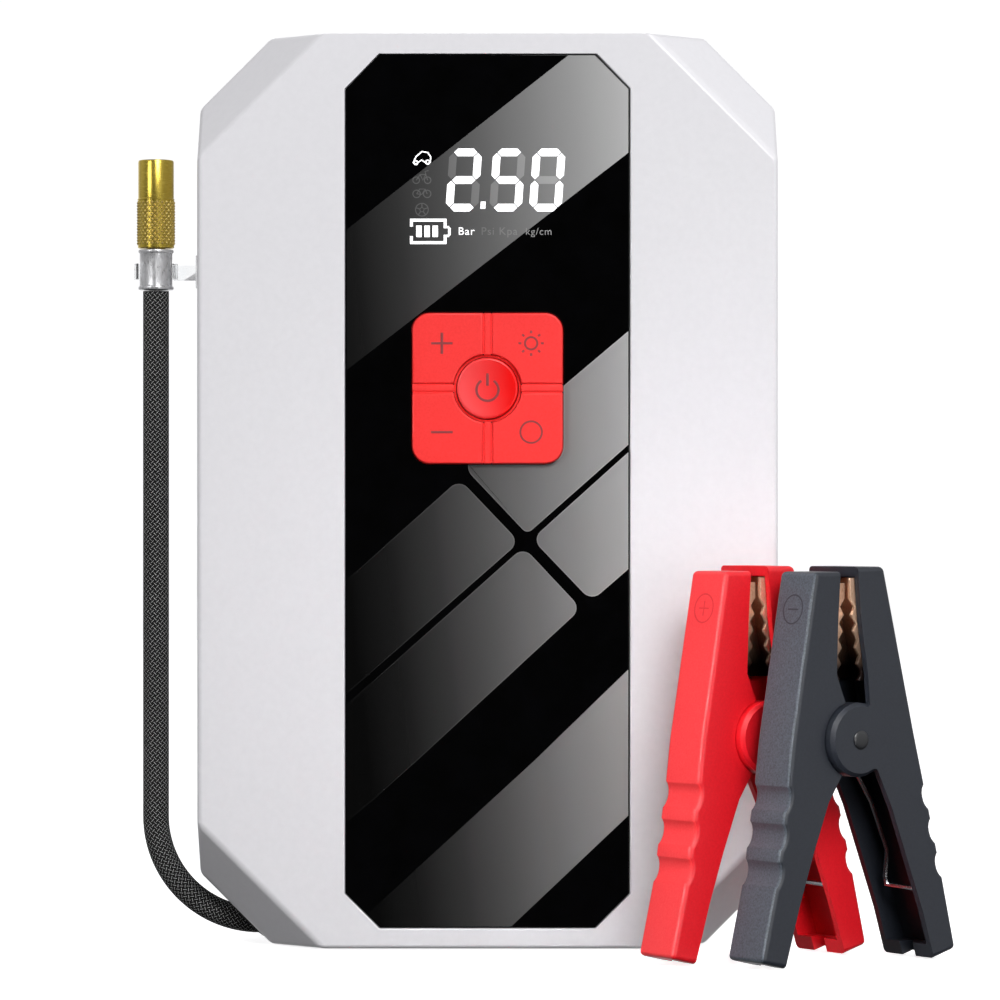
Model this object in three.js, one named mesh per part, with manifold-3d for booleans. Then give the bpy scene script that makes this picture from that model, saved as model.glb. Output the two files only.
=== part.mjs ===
// Jump starter pack with a built-in tyre inflator: an upright white case with a black front panel and a red
// keypad, a braided air hose with a brass chuck on its left side, and a black and a red jump clamp that stand
// in front of it.
// Millimetres, +Z up, X to the right, Y to the rear. The origin is the middle of the case's bottom face.
import * as THREE from "three";
import { mergeVertices } from "three/addons/utils/BufferGeometryUtils.js";
import Module from "manifold-3d";

const wasm = await Module();
wasm.setup();

// ---------- driving dimensions ----------

const GAP = 0.3; // between pieces that meet
const RUN = 0.1; // radial clearance of a shaft or a plug in its hole

const CASE = { width: 132, height: 208, depth: 52, wall: 2.5 };
// 45 degree corners, and the facets on their front and rear edges
const CORNER = { cut: 16.3, faceCut: 28.6, facetDepth: 11 };
const PARTING_Y = 10; // where the front and rear shells meet
const LIP = { thick: 1.2, length: 2, play: 0.2 };

const PANEL = { width: 64.5, margin: 4.8, cut: 7.8, thick: 1.5, sink: 0.15, ledge: 3.5 };
const PANEL_BACKING = 2.1; // wall behind the panel
// opening behind the panel for the display and the keypad
const WINDOW = { halfWidth: 27, fromTop: 12, under: 2.275 };

const PAD = { size: 34.15, radius: 4, fromTop: 80.7, proud: 1.8 };
const KEY = { groove: 0.3, flange: 1.2, flangeWidth: 1.25, height: 4.8, travel: 0.8 };
const RIDGE = { width: 1.5, sink: 0.2 };
const POWER = { radius: 6.95, ringWall: 0.45, ringSink: 1.4 };
const PAD_RING = 2.4; // rim that carries the cross, behind the panel

const DISPLAY = { width: 44, height: 35, thick: 3, fromTop: 35.5 };
const BOARD = 1.6; // circuit board thickness
const CONTROL = { halfWidth: 32, fromTop: 11, height: 97, post: 2.25, pin: 1.2 };
const MEMBRANE = { margin: 2.925, thick: 0.8 };

const SCREW = { x: 38, inset: 12, boss: 3.5, head: 2.8, headHeight: 2.4, shank: 1.35, length: 14, seat: 12 };

const CELL = { thick: 8.6, floor: 28, tab: 3 };
const TRAY = { wall: 1.5, play: GAP };
const LEAD_RADIUS = 1.7;

const MOTOR = { radius: 13.85, wall: 1.25, length: 36.4, cap: 2.5, shaft: 1.15, boss: 4.5 };
const GEAR = { module: 0.8, pinion: 9, wheel: 40, thick: 4.5, play: 0.1 };
const CRANK = { throw: 5, pin: 1.6, pinLength: 3.5 };
const CYLINDER = { bore: 8.2, wall: 2.4, fin: 13, length: 17.6, floorToAxis: 51 };
const PISTON = { length: 3.9, cup: 1.2, reach: 29.5 };
const HEAD = { thick: 4.9, height: 22, width: 22 };
const FRAME = { plate: 2.8, web: 2.6, halfWidth: 14 };
const COMPRESSOR_FROM_REAR = 20.5; // motor axis from the rear wall's inner face
const WHEEL_FROM_LEFT = 43.5; // crank gear axis from the left wall's inner face

const HOSE = { radius: 3, fromCase: 10.85, y: -6, z: 4.8, bend: 24, fromTop: 57.7, entry: 2.25 };
const GLAND = { wall: 0.9, proud: 0.8, block: 8.7, barb: 1.3 };
const AIR_TUBE = { outer: 2.4, inner: 1.5 };
const FERRULE = { length: 9.3, radius: 3.75, rim: 4.1 };
const CHUCK = { neck: 4.15, knurl: 4.45, knurlLength: 11.6, length: 20.4, bore: 3.5, stem: 2.1 };
const CLIP = { onFerrule: 2.4, height: 3.6, wall: 1, mouth: 3.85 };

const SOCKET = { fromTop: 58, width: 15, height: 24, depth: 15, contact: 3.1, pitch: 12, y: -2 };
const COVER = { margin: 2, thick: 1.7, play: 0.3 };
const USB_A = { fromTop: 36, width: 6.8, height: 14.2, depth: 15, wall: 0.6 };
const USB_C = { fromTop: 22.5, width: 3.2, height: 9.2, depth: 9, wall: 0.4 };
const LAMP = { width: 41.6, depth: 13.6, flange: 1.2, board: 10.6 };

const CLAMP = { width: 12.4, proud: 2.2, wall: 1.5, back: 2, tip: 2.2, end: 1.6, notch: 4.4 };
const CLAMP_POSE = { turn: 36, pivotZ: 49.3 };
// where the clamps stand, from their far faces
const STAND = { fromSide: 11.67, fromFront: 12.97, apart: 6.51, shift: 9.87 };
const EAR = { radius: 8.2, step: 0.95, thick: 1.4 };
const PIVOT = { radius: 1.6, head: 2.1, headHeight: 0.4 };
const TEETH = { depth: 1.2, count: 5, sheet: 0.9, lip: 3.4 };
const SPRING = { radius: 4.4, wire: 1.3, play: 0.4 };

// ---------- places that follow from them ----------

const LEFT = -CASE.width / 2;
const RIGHT = CASE.width / 2;
const FRONT = -CASE.depth / 2;
const REAR = CASE.depth / 2;
const TOP = CASE.height;
const IN_LEFT = LEFT + CASE.wall;
const IN_RIGHT = RIGHT - CASE.wall;
const IN_REAR = REAR - CASE.wall;

const PANEL_FRONT = FRONT + PANEL.sink;
const PANEL_BACK = PANEL_FRONT + PANEL.thick;
const BACKING_FRONT = PANEL_BACK + 0.2;
const BACKING_BACK = BACKING_FRONT + PANEL_BACKING;
const KEY_FRONT = FRONT - PAD.proud + 0.2;
const KEY_BACK = KEY_FRONT + KEY.height;
const PAD_Z = TOP - PAD.fromTop;
const FRAME_BACK = KEY_BACK + KEY.travel;
const MEMBRANE_FRONT = FRAME_BACK + 0.2;
const CONTROL_FRONT = MEMBRANE_FRONT + MEMBRANE.thick + 0.2;

// ---------- solids ----------

// A closed geometry as a solid with its faces pointing out.
function solid(geometry) {
  const bare = geometry.clone();
  bare.deleteAttribute("normal");
  bare.deleteAttribute("uv");
  const merged = mergeVertices(bare, 1e-4);
  const vertProperties = new Float32Array(merged.attributes.position.array);
  const build = (triVerts) =>
    new wasm.Manifold(
      new wasm.Mesh({ numProp: 3, vertProperties, triVerts }),
    );
  const faces = new Uint32Array(merged.index.array);
  const made = build(faces);
  return made.volume() > 0 ? made : build(faces.reverse());
}

const join = (...parts) => parts.reduce((a, b) => a.add(b));
const cut = (body, ...tools) => tools.reduce((a, b) => a.subtract(b), body);

function box([x0, x1], [y0, y1], [z0, z1]) {
  const g = new THREE.BoxGeometry(x1 - x0, y1 - y0, z1 - z0);
  return solid(g.translate((x0 + x1) / 2, (y0 + y1) / 2, (z0 + z1) / 2));
}

// Turns a geometry made about three.js's Y axis so that it stands along another one.
function along(axis, g) {
  if (axis === "x") return g.rotateZ(-Math.PI / 2);
  if (axis === "z") return g.rotateX(Math.PI / 2);
  return g;
}

// A round bar from one point of its axis to another: centre gives the two coordinates across the axis.
function rod(axis, radius, [from, to], [c1, c2], sides = 20) {
  const g = along(axis, new THREE.CylinderGeometry(radius, radius, to - from, sides));
  const middle = (from + to) / 2;
  if (axis === "x") g.translate(middle, c1, c2);
  if (axis === "y") g.translate(c1, middle, c2);
  if (axis === "z") g.translate(c1, c2, middle);
  return solid(g);
}

const tube = (axis, outer, inner, span, centre, sides = 20) =>
  cut(rod(axis, outer, span, centre, sides), rod(axis, inner, [span[0] - 1, span[1] + 1], centre, sides));

const shapeOf = (points) => new THREE.Shape(points.map(([a, b]) => new THREE.Vector2(a, b)));

// An outline in X and Z, drawn out along Y.
function prismY(outline, [y0, y1], curveSegments = 6) {
  const shape = outline instanceof THREE.Shape ? outline : shapeOf(outline);
  const g = new THREE.ExtrudeGeometry(shape, { depth: y1 - y0, bevelEnabled: false, curveSegments });
  return solid(g.rotateX(Math.PI / 2).translate(0, y1, 0));
}

// An outline in X and Y, drawn up along Z.
function prismZ(outline, [z0, z1]) {
  const g = new THREE.ExtrudeGeometry(shapeOf(outline), { depth: z1 - z0, bevelEnabled: false });
  return solid(g.translate(0, 0, z0));
}

function roundedSquare(half, radius, cz) {
  const s = new THREE.Shape();
  const a = half - radius;
  s.absarc(a, cz + a, radius, 0, Math.PI / 2);
  s.absarc(-a, cz + a, radius, Math.PI / 2, Math.PI);
  s.absarc(-a, cz - a, radius, Math.PI, 1.5 * Math.PI);
  s.absarc(a, cz - a, radius, 1.5 * Math.PI, 2 * Math.PI);
  s.closePath();
  return s;
}

// A round section swept along a curve, with an optional bore.
function sweep(points, radius, steps, sides, bore = 0) {
  const path = new THREE.CatmullRomCurve3(points.map((p) => new THREE.Vector3(...p)), false, "centripetal");
  const angles = Array.from({ length: sides }, (_, i) => (2 * Math.PI * i) / sides);
  const ring = (r) => angles.map((a) => [r * Math.cos(a), r * Math.sin(a)]);
  const section = shapeOf(ring(radius));
  if (bore) section.holes.push(new THREE.Path(ring(bore).map(([a, b]) => new THREE.Vector2(a, b))));
  return solid(new THREE.ExtrudeGeometry(section, { steps, extrudePath: path, bevelEnabled: false }));
}

// ---------- the scene graph ----------

const pack = new THREE.Group();

const finishes = {
  caseWhite: { color: 0xe9e8ed, roughness: 0.35, metalness: 0 },
  glossBlack: { color: 0x050505, roughness: 0.06, metalness: 0 },
  matteBlack: { color: 0x1a1a1c, roughness: 0.6, metalness: 0 },
  keyRed: { color: 0xfc4440, roughness: 0.45, metalness: 0 },
  powerRed: { color: 0xff2a2c, roughness: 0.4, metalness: 0 },
  rubber: { color: 0x222222, roughness: 0.8, metalness: 0 },
  board: { color: 0x1f5a33, roughness: 0.5, metalness: 0 },
  cell: { color: 0x9aa0a8, roughness: 0.35, metalness: 0.5 },
  steel: { color: 0xb8bac0, roughness: 0.3, metalness: 1 },
  aluminium: { color: 0xbababa, roughness: 0.35, metalness: 1 },
  brass: { color: 0xc9ac62, roughness: 0.3, metalness: 1 },
  copper: { color: 0xb87a4a, roughness: 0.35, metalness: 1 },
  braid: { color: 0x2f2f2f, roughness: 0.75, metalness: 0 },
  lens: { color: 0xf2f4f6, roughness: 0.1, metalness: 0, transparent: true, opacity: 0.4 },
  clampBlack: { color: 0x3a3a3e, roughness: 0.55, metalness: 0 },
  clampRed: { color: 0xf0262c, roughness: 0.45, metalness: 0 },
  leadRed: { color: 0xc02020, roughness: 0.5, metalness: 0 },
};

function add(name, body, finish, parent = pack) {
  const made = body.getMesh();
  const g = new THREE.BufferGeometry();
  g.setAttribute("position", new THREE.BufferAttribute(new Float32Array(made.vertProperties), 3));
  g.setIndex(new THREE.BufferAttribute(new Uint32Array(made.triVerts), 1));
  g.computeVertexNormals();
  const mesh = new THREE.Mesh(g, new THREE.MeshStandardMaterial(finishes[finish]));
  mesh.name = name;
  parent.add(mesh);
  return mesh;
}

// ---------- case ----------

// The case's outline with its four 45 degree corners, moved in by a wall.
function caseOutline(inset) {
  const w = CASE.width / 2 - inset;
  const low = inset;
  const high = CASE.height - inset;
  const c = CORNER.cut - inset * (2 - Math.SQRT2);
  return [
    [-w + c, low], [w - c, low], [w, low + c], [w, high - c],
    [w - c, high], [-w + c, high], [-w, high - c], [-w, low + c],
  ];
}

// What a corner's facet takes off: across the corner it runs inwards from the sharp corner, and back from
// the face.
function facetTool(inset, sideX, sideZ, sideY) {
  const face = CORNER.faceCut / Math.SQRT2;
  const wall = CORNER.cut / Math.SQRT2;
  const length = Math.hypot(face - wall, CORNER.facetDepth);
  const inwards = [(CORNER.facetDepth / length) * inset, (-sideY * (face - wall) * inset) / length];
  const a = new THREE.Vector2(face + inwards[0], (sideY * CASE.depth) / 2 + inwards[1]);
  const b = new THREE.Vector2(wall + inwards[0], sideY * (CASE.depth / 2 - CORNER.facetDepth) + inwards[1]);
  const run = b.clone().sub(a);
  const start = a.clone().addScaledVector(run, -0.5);
  const end = b.clone().addScaledVector(run, 1);
  const outline = [[start.x, start.y], [end.x, end.y], [-40, end.y], [-40, start.y]];
  const g = new THREE.ExtrudeGeometry(shapeOf(outline), { depth: 120, bevelEnabled: false });
  g.translate(0, 0, -60);
  const inward = new THREE.Vector3(-sideX, 0, -sideZ).normalize();
  const y = new THREE.Vector3(0, 1, 0);
  const m = new THREE.Matrix4().makeBasis(inward, y, inward.clone().cross(y));
  m.setPosition((sideX * CASE.width) / 2, 0, sideZ > 0 ? CASE.height : 0);
  return solid(g.applyMatrix4(m));
}

// The case's solid shape, moved in by a wall, between two planes across it.
function caseBody(inset, [y0, y1]) {
  let body = prismY(caseOutline(inset), [y0, y1]);
  for (const sideX of [-1, 1]) {
    for (const sideZ of [-1, 1]) {
      for (const sideY of [-1, 1]) body = cut(body, facetTool(inset, sideX, sideZ, sideY));
    }
  }
  return body;
}

function panelOutline(grow) {
  const w = PANEL.width / 2 + grow;
  const low = PANEL.margin - grow;
  const high = CASE.height - PANEL.margin + grow;
  const c = PANEL.cut + grow * (2 - Math.SQRT2);
  return [
    [-w + c, low], [w - c, low], [w, low + c], [w, high - c],
    [w - c, high], [-w + c, high], [-w, high - c], [-w, low + c],
  ];
}

const screwPlaces = [
  [-SCREW.x, SCREW.inset], [SCREW.x, SCREW.inset],
  [-SCREW.x, TOP - SCREW.inset], [SCREW.x, TOP - SCREW.inset],
];
const controlHigh = TOP - CONTROL.fromTop;
const controlLow = controlHigh - CONTROL.height;
const controlPosts = [-1, 1].flatMap(
  (s) => [controlLow + 4, controlHigh - 4].map((z) => [s * (CONTROL.halfWidth - 2.7), z]),
);
const socketZ = TOP - SOCKET.fromTop;
const windowHigh = TOP - WINDOW.fromTop;
const windowLow = PAD_Z - PAD.size / 2 - KEY.flangeWidth - GAP - PAD_RING - WINDOW.under;
const coverHalf = { y: SOCKET.width / 2 + COVER.margin, z: SOCKET.height / 2 + COVER.margin };
const pocketFloor = RIGHT - COVER.thick - 2 * COVER.play;
const usbA = { z: TOP - USB_A.fromTop, y: SOCKET.y };
const usbC = { z: TOP - USB_C.fromTop, y: SOCKET.y + (USB_A.width - USB_C.width) / 2 };
const lampHalf = { x: LAMP.width / 2, y: LAMP.depth / 2 };

// Hose route: straight out of the gland, a quarter turn up, then straight up beside the case.
const hoseX = LEFT - HOSE.fromCase;
const hoseTop = TOP - HOSE.fromTop;
const turnCentre = { x: hoseX + HOSE.bend, z: HOSE.z + HOSE.bend };
const hoseTurn = Array.from({ length: 10 }, (_, i) => THREE.MathUtils.degToRad(10 * i)).map((a) => [
  turnCentre.x - HOSE.bend * Math.sin(a), HOSE.y, turnCentre.z - HOSE.bend * Math.cos(a),
]);
const hoseRise = Array.from(
  { length: 7 },
  (_, i) => [hoseX, HOSE.y, turnCentre.z + ((hoseTop - turnCentre.z) * (i + 1)) / 7],
);
const hosePoints = [[turnCentre.x + HOSE.entry, HOSE.y, HOSE.z], ...hoseTurn, ...hoseRise];
const glandHole = HOSE.radius + GLAND.wall + RUN;
const glandInner = LEFT + CORNER.cut + 1.5; // where the 45 degree wall's inner face meets the floor

function frontShell() {
  let shell = caseBody(0, [FRONT, PARTING_Y - GAP / 2]);
  shell = cut(shell, caseBody(CASE.wall, [FRONT + CASE.wall, PARTING_Y + 1]));
  const lipOutside = CASE.wall - LIP.thick;
  const lip = cut(
    prismY(caseOutline(lipOutside), [PARTING_Y - 1, PARTING_Y + LIP.length]),
    prismY(caseOutline(CASE.wall), [PARTING_Y - 2, PARTING_Y + LIP.length + 1]),
  );
  shell = join(shell, lip, prismY(panelOutline(PANEL.ledge / 2), [FRONT + CASE.wall / 2, BACKING_BACK]));
  // thick pad in the side wall round the jump socket
  const padY = [SOCKET.y - coverHalf.y - 2, SOCKET.y + coverHalf.y + 1.2];
  shell = join(
    shell,
    box([IN_RIGHT - 3, RIGHT - 0.5], padY, [socketZ - coverHalf.z - 3, socketZ + coverHalf.z + 3]),
  );
  for (const [x, z] of screwPlaces) {
    shell = join(shell, rod("y", SCREW.boss, [FRONT + CASE.wall / 2, PARTING_Y - GAP / 2], [x, z], 16));
    shell = cut(shell, rod("y", SCREW.shank + RUN, [SCREW.seat - SCREW.length, PARTING_Y + 1], [x, z], 16));
  }
  for (const [x, z] of controlPosts) {
    shell = join(shell, rod("y", CONTROL.post, [FRONT + CASE.wall / 2, CONTROL_FRONT - 0.15], [x, z], 12));
    shell = join(
      shell,
      rod("y", CONTROL.pin, [FRONT + CASE.wall / 2, CONTROL_FRONT + BOARD + 0.7], [x, z], 12),
    );
  }
  // panel recess, and the window behind it
  shell = cut(shell, prismY(panelOutline(0.15), [FRONT - 1, BACKING_FRONT]));
  shell = cut(
    shell,
    box([-WINDOW.halfWidth, WINDOW.halfWidth], [FRONT - 1, BACKING_BACK + 1], [windowLow, windowHigh]),
  );
  // hose gland hole, socket pocket and hole, port holes, lamp opening
  shell = cut(shell, rod("x", glandHole, [LEFT - 1, glandInner], [HOSE.y, HOSE.z]));
  const pocketY = [SOCKET.y - coverHalf.y - COVER.play, SOCKET.y + coverHalf.y + COVER.play];
  shell = cut(
    shell,
    box(
      [pocketFloor, RIGHT + 1],
      pocketY,
      [socketZ - coverHalf.z - 2 * COVER.play, socketZ + coverHalf.z + COVER.play],
    ),
  );
  const portHole = (port, y, z) =>
    box(
      [IN_RIGHT - 4, RIGHT + 1],
      [y - port.width / 2 - 0.2, y + port.width / 2 + 0.2],
      [z - port.height / 2 - 0.2, z + port.height / 2 + 0.2],
    );
  shell = cut(
    shell,
    portHole(SOCKET, SOCKET.y, socketZ),
    portHole(USB_A, usbA.y, usbA.z),
    portHole(USB_C, usbC.y, usbC.z),
  );
  const lampY = [SOCKET.y - lampHalf.y - 0.2, SOCKET.y + lampHalf.y + 0.2];
  return cut(shell, box([-lampHalf.x - 0.2, lampHalf.x + 0.2], lampY, [TOP - CASE.wall - 1, TOP + 1]));
}

const mainBoard = {
  x: [IN_LEFT + 5.5, IN_LEFT + 77.5],
  y: IN_REAR - 15.5,
  z: [CYLINDER.floorToAxis + 63, TOP - 18],
};
const mainPosts = mainBoard.x.flatMap(
  (x, i) => mainBoard.z.map((z, j) => [x + (i ? -4 : 4), z + (j ? -4 : 4)]),
);
const motorY = IN_REAR - COMPRESSOR_FROM_REAR;
const wheelX = IN_LEFT + WHEEL_FROM_LEFT;
const gearSpacing = (GEAR.module * (GEAR.pinion + GEAR.wheel)) / 2 + GEAR.play;
const motorX = wheelX + gearSpacing;
const wheelRadius = GEAR.module * (GEAR.wheel / 2 + 0.85);
const axisZ = CYLINDER.floorToAxis;
const gearZ = axisZ + 2.5 + CRANK.pinLength;
const plateZ = gearZ + GEAR.thick + 2.5;
const motorZ = plateZ + FRAME.plate + GAP;
const frameBack = [IN_REAR - 6.5, IN_REAR - 4.1];
const webX = wheelX - 20;
const tray = {
  x: [motorX + MOTOR.radius + 5.5, IN_RIGHT - 1],
  y: [IN_REAR - 4 - TRAY.wall - 3 * (CELL.thick + GAP) - 1.8, IN_REAR - 4],
  z: [CELL.floor - TRAY.wall - TRAY.play, socketZ - coverHalf.z - 8],
};
const framePosts = [[webX + 7, axisZ - 5], [motorX + 9, axisZ - 5]];
const trayPosts = [tray.z[0] + 14, tray.z[1] - 14].map((z) => [(tray.x[0] + tray.x[1]) / 2, z]);

function rearShell() {
  let shell = caseBody(0, [PARTING_Y + GAP / 2, REAR]);
  shell = cut(shell, caseBody(CASE.wall, [PARTING_Y - 1, IN_REAR]));
  const rebate = caseOutline(CASE.wall - LIP.thick - LIP.play);
  shell = cut(shell, prismY(rebate, [PARTING_Y - 1, PARTING_Y + LIP.length + GAP]));
  for (const [x, z] of screwPlaces) {
    shell = join(shell, rod("y", SCREW.boss + 0.6, [PARTING_Y + GAP / 2, IN_REAR + 1], [x, z], 16));
    shell = cut(shell, rod("y", SCREW.shank + 0.3, [PARTING_Y - 1, REAR + 1], [x, z], 16));
    shell = cut(shell, rod("y", SCREW.head + 0.3, [SCREW.seat, REAR + 1], [x, z], 16));
  }
  const post = (radius, from, [x, z]) => rod("y", radius, [from, IN_REAR + 1], [x, z], 12);
  for (const place of mainPosts) shell = join(shell, post(2.5, mainBoard.y + BOARD + 0.1, place));
  for (const place of framePosts) shell = join(shell, post(3, frameBack[1] + 0.1, place));
  for (const place of trayPosts) shell = join(shell, post(3, tray.y[1] + 0.1, place));
  return shell;
}

add("front_shell", frontShell(), "caseWhite");
add("rear_shell", rearShell(), "caseWhite");
screwPlaces.forEach(([x, z], i) => {
  const head = rod("y", SCREW.head, [SCREW.seat + 0.05, SCREW.seat + SCREW.headHeight], [x, z], 16);
  const shank = rod("y", SCREW.shank, [SCREW.seat - SCREW.length + 1, SCREW.seat + 1], [x, z], 16);
  const slot = box([x - 1.9, x + 1.9], [SCREW.seat + SCREW.headHeight - 1, REAR], [z - 0.35, z + 0.35]);
  add(`case_screw_${i + 1}`, cut(join(head, shank), slot), "steel");
});

// ---------- front panel, keypad and display ----------

const padHole = roundedSquare(PAD.size / 2 + 0.2, PAD.radius + 0.2, PAD_Z);
add(
  "front_panel",
  cut(prismY(panelOutline(0), [PANEL_FRONT, PANEL_BACK]), prismY(padHole, [FRONT - 1, 0])),
  "glossBlack",
);

const flangeFront = PANEL_BACK + GAP;
const flangeHalf = PAD.size / 2 + KEY.flangeWidth;
const ringInner = POWER.radius + 0.2;
const ringOuter = ringInner + POWER.ringWall;
const keyEdge = RIDGE.width / 2 + KEY.groove;

function key(sideX, sideZ) {
  const span = (side, half) => (side > 0 ? [keyEdge, half] : [-half, -keyEdge]);
  const quarter = (half) => [span(sideX, half), span(sideZ, half).map((v) => v + PAD_Z)];
  const [x, z] = quarter(flangeHalf);
  const cap = prismY(roundedSquare(PAD.size / 2, PAD.radius, PAD_Z), [KEY_FRONT, flangeFront + KEY.flange]);
  const foot = box(x, [flangeFront, flangeFront + KEY.flange], z);
  const whole = join(cap, foot).intersect(box(x, [KEY_FRONT - 1, 0], z));
  return cut(whole, rod("y", ringOuter + 0.15, [KEY_FRONT - 1, 0], [0, PAD_Z], 32));
}

add("button_plus", key(-1, 1), "keyRed");
add("button_light", key(1, 1), "keyRed");
add("button_minus", key(-1, -1), "keyRed");
add("button_mode", key(1, -1), "keyRed");
add("button_power", rod("y", POWER.radius, [KEY_FRONT, KEY_BACK], [0, PAD_Z], 32), "powerRed");

function keypadFrame() {
  const inner = flangeHalf + GAP;
  const outer = inner + PAD_RING;
  const low = [PANEL_BACK + 0.15, FRAME_BACK];
  const square = (h, y) => box([-h, h], y, [PAD_Z - h, PAD_Z + h]);
  let frame = cut(square(outer, low), square(inner, [low[0] - 1, low[1] + 1]));
  const half = RIDGE.width / 2;
  const bars = (reach, y) => [
    box([-reach, reach], y, [PAD_Z - half, PAD_Z + half]),
    box([-half, half], y, [PAD_Z - reach, PAD_Z + reach]),
  ];
  frame = join(frame, ...bars(inner + 1, low), ...bars(PAD.size / 2, [KEY_FRONT + RIDGE.sink, FRAME_BACK]));
  frame = cut(frame, rod("y", ringOuter, [KEY_FRONT - 1, 0], [0, PAD_Z], 32));
  const ring = tube(
    "y",
    ringOuter + 0.05,
    ringInner,
    [KEY_FRONT + POWER.ringSink, FRAME_BACK],
    [0, PAD_Z],
    32,
  );
  return join(frame, ring);
}
add("keypad_frame", keypadFrame(), "keyRed");

const membraneHalf = PAD.size / 2 + MEMBRANE.margin;
add(
  "keypad_membrane",
  box(
    [-membraneHalf, membraneHalf],
    [MEMBRANE_FRONT, MEMBRANE_FRONT + MEMBRANE.thick],
    [PAD_Z - membraneHalf, PAD_Z + membraneHalf],
  ),
  "rubber",
);

const displayZ = TOP - DISPLAY.fromTop;
add(
  "display_module",
  box(
    [-DISPLAY.width / 2, DISPLAY.width / 2],
    [PANEL_BACK + 0.2, PANEL_BACK + 0.2 + DISPLAY.thick],
    [displayZ - DISPLAY.height / 2, displayZ + DISPLAY.height / 2],
  ),
  "matteBlack",
);

function controlBoard() {
  const back = CONTROL_FRONT + BOARD;
  let board = box([-CONTROL.halfWidth, CONTROL.halfWidth], [CONTROL_FRONT, back], [controlLow, controlHigh]);
  board = join(board, box([-6, 6], [back - 0.5, back + 1.2], [displayZ - 14, displayZ - 2]));
  board = join(board, box([-20, -10], [back - 0.5, back + 1], [PAD_Z - 4, PAD_Z + 4]));
  for (const place of controlPosts) {
    board = cut(board, rod("y", CONTROL.pin + 0.2, [CONTROL_FRONT - 1, back + 1], place, 12));
  }
  return board;
}
add("control_board", controlBoard(), "board");

// ---------- power electronics ----------

function mainBoardBody() {
  const { x, y, z } = mainBoard;
  const high = z[1] - z[0];
  const row = (share) => z[0] + share * high; // a row of parts, as a share of the board's height
  let board = box(x, [y, y + BOARD], z);
  const part = (x0, w, z0, h, tall) => box([x[0] + x0, x[0] + x0 + w], [y - tall, y + 0.2], [z0, z0 + h]);
  board = join(
    board,
    part(6, 19, row(0.1), 0.2 * high, 15),
    part(34, 10, row(0.13), 10, 2),
    part(50, 14, row(0.1), 11, 4),
  );
  for (const x0 of [8, 16, 24]) board = join(board, part(x0, 6, row(0.47), 9, 4.5));
  for (const x0 of [44, 58]) board = join(board, rod("y", 4, [y - 12, y + 0.2], [x[0] + x0, row(0.63)], 16));
  return board;
}
add("main_board", mainBoardBody(), "board");

function batteryTray() {
  const w = TRAY.wall;
  const inner = [
    tray.x.map((v, i) => v + (i ? -w : w)),
    [tray.y[0] - 1, tray.y[1] - w],
    tray.z.map((v, i) => v + (i ? -w : w)),
  ];
  const slot = box(
    [tray.x[0] + 6, tray.x[1] - 6],
    [tray.y[0] + 4, tray.y[1] - 4],
    [tray.z[1] - w - 1, tray.z[1] + 1],
  );
  return cut(box(tray.x, tray.y, tray.z), box(...inner), slot);
}
add("battery_tray", batteryTray(), "matteBlack");

const cellX = [tray.x[0] + TRAY.wall + TRAY.play, tray.x[1] - TRAY.wall - TRAY.play];
const cellHigh = tray.z[1] - TRAY.wall - CELL.tab - 0.5;
const cellY = (i) => tray.y[1] - TRAY.wall - GAP - i * (CELL.thick + GAP) - CELL.thick;
const tabX = [cellX[0] + 9, cellX[1] - 9];
[0, 1, 2].forEach((i) => {
  const y = cellY(i);
  let cell = box(cellX, [y, y + CELL.thick], [CELL.floor, cellHigh]);
  for (const x of tabX) {
    cell = join(cell, box([x - 3, x + 3], [y + 3.6, y + 4.4], [cellHigh - 1, cellHigh + CELL.tab]));
  }
  add(`battery_cell_${i + 1}`, cell, "cell");
});

const contactZ = [socketZ - SOCKET.pitch / 2, socketZ + SOCKET.pitch / 2];
const socketBack = pocketFloor - SOCKET.depth;
function lead(fromX, fromY, contact, swing) {
  const start = cellHigh + CELL.tab + GAP;
  const points = [
    [fromX, fromY, start],
    [fromX, fromY, start + 5],
    [socketBack - swing, SOCKET.y, (start + contact) / 2 + 2],
    [socketBack - 4.5, SOCKET.y, contact - 1],
    [socketBack - 2 * GAP, SOCKET.y, contact],
  ];
  return sweep(points, LEAD_RADIUS, 14, 8);
}
add("lead_negative", lead(tabX[0], cellY(2) + 4, contactZ[1], 13), "rubber");
add("lead_positive", lead(tabX[1], cellY(2) + 4, contactZ[0], 4), "leadRed");

// ---------- jump socket, ports and lamp ----------

const socketMouth = pocketFloor - 0.1;
function jumpSocket() {
  const half = { y: SOCKET.width / 2, z: SOCKET.height / 2 };
  let body = box(
    [socketBack, socketMouth],
    [SOCKET.y - half.y, SOCKET.y + half.y],
    [socketZ - half.z, socketZ + half.z],
  );
  for (const z of contactZ) {
    body = cut(body, rod("x", SOCKET.contact, [socketBack + 3, RIGHT + 1], [SOCKET.y, z], 20));
  }
  return body;
}
add("jump_socket", jumpSocket(), "matteBlack");

function socketCover() {
  const y = [SOCKET.y - coverHalf.y, SOCKET.y + coverHalf.y];
  let cover = box([RIGHT - COVER.thick, RIGHT], y, [socketZ - coverHalf.z, socketZ + coverHalf.z]);
  for (const z of contactZ) {
    cover = join(cover, rod("x", 2, [RIGHT - COVER.thick - 1.6, RIGHT - 0.5], [SOCKET.y, z], 16));
  }
  return cut(
    cover,
    box(
      [RIGHT - 0.9, RIGHT + 1],
      [SOCKET.y - 4, SOCKET.y + 4],
      [socketZ + coverHalf.z - 1.4, socketZ + coverHalf.z + 1],
    ),
  );
}
add("socket_cover", socketCover(), "rubber");

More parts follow.
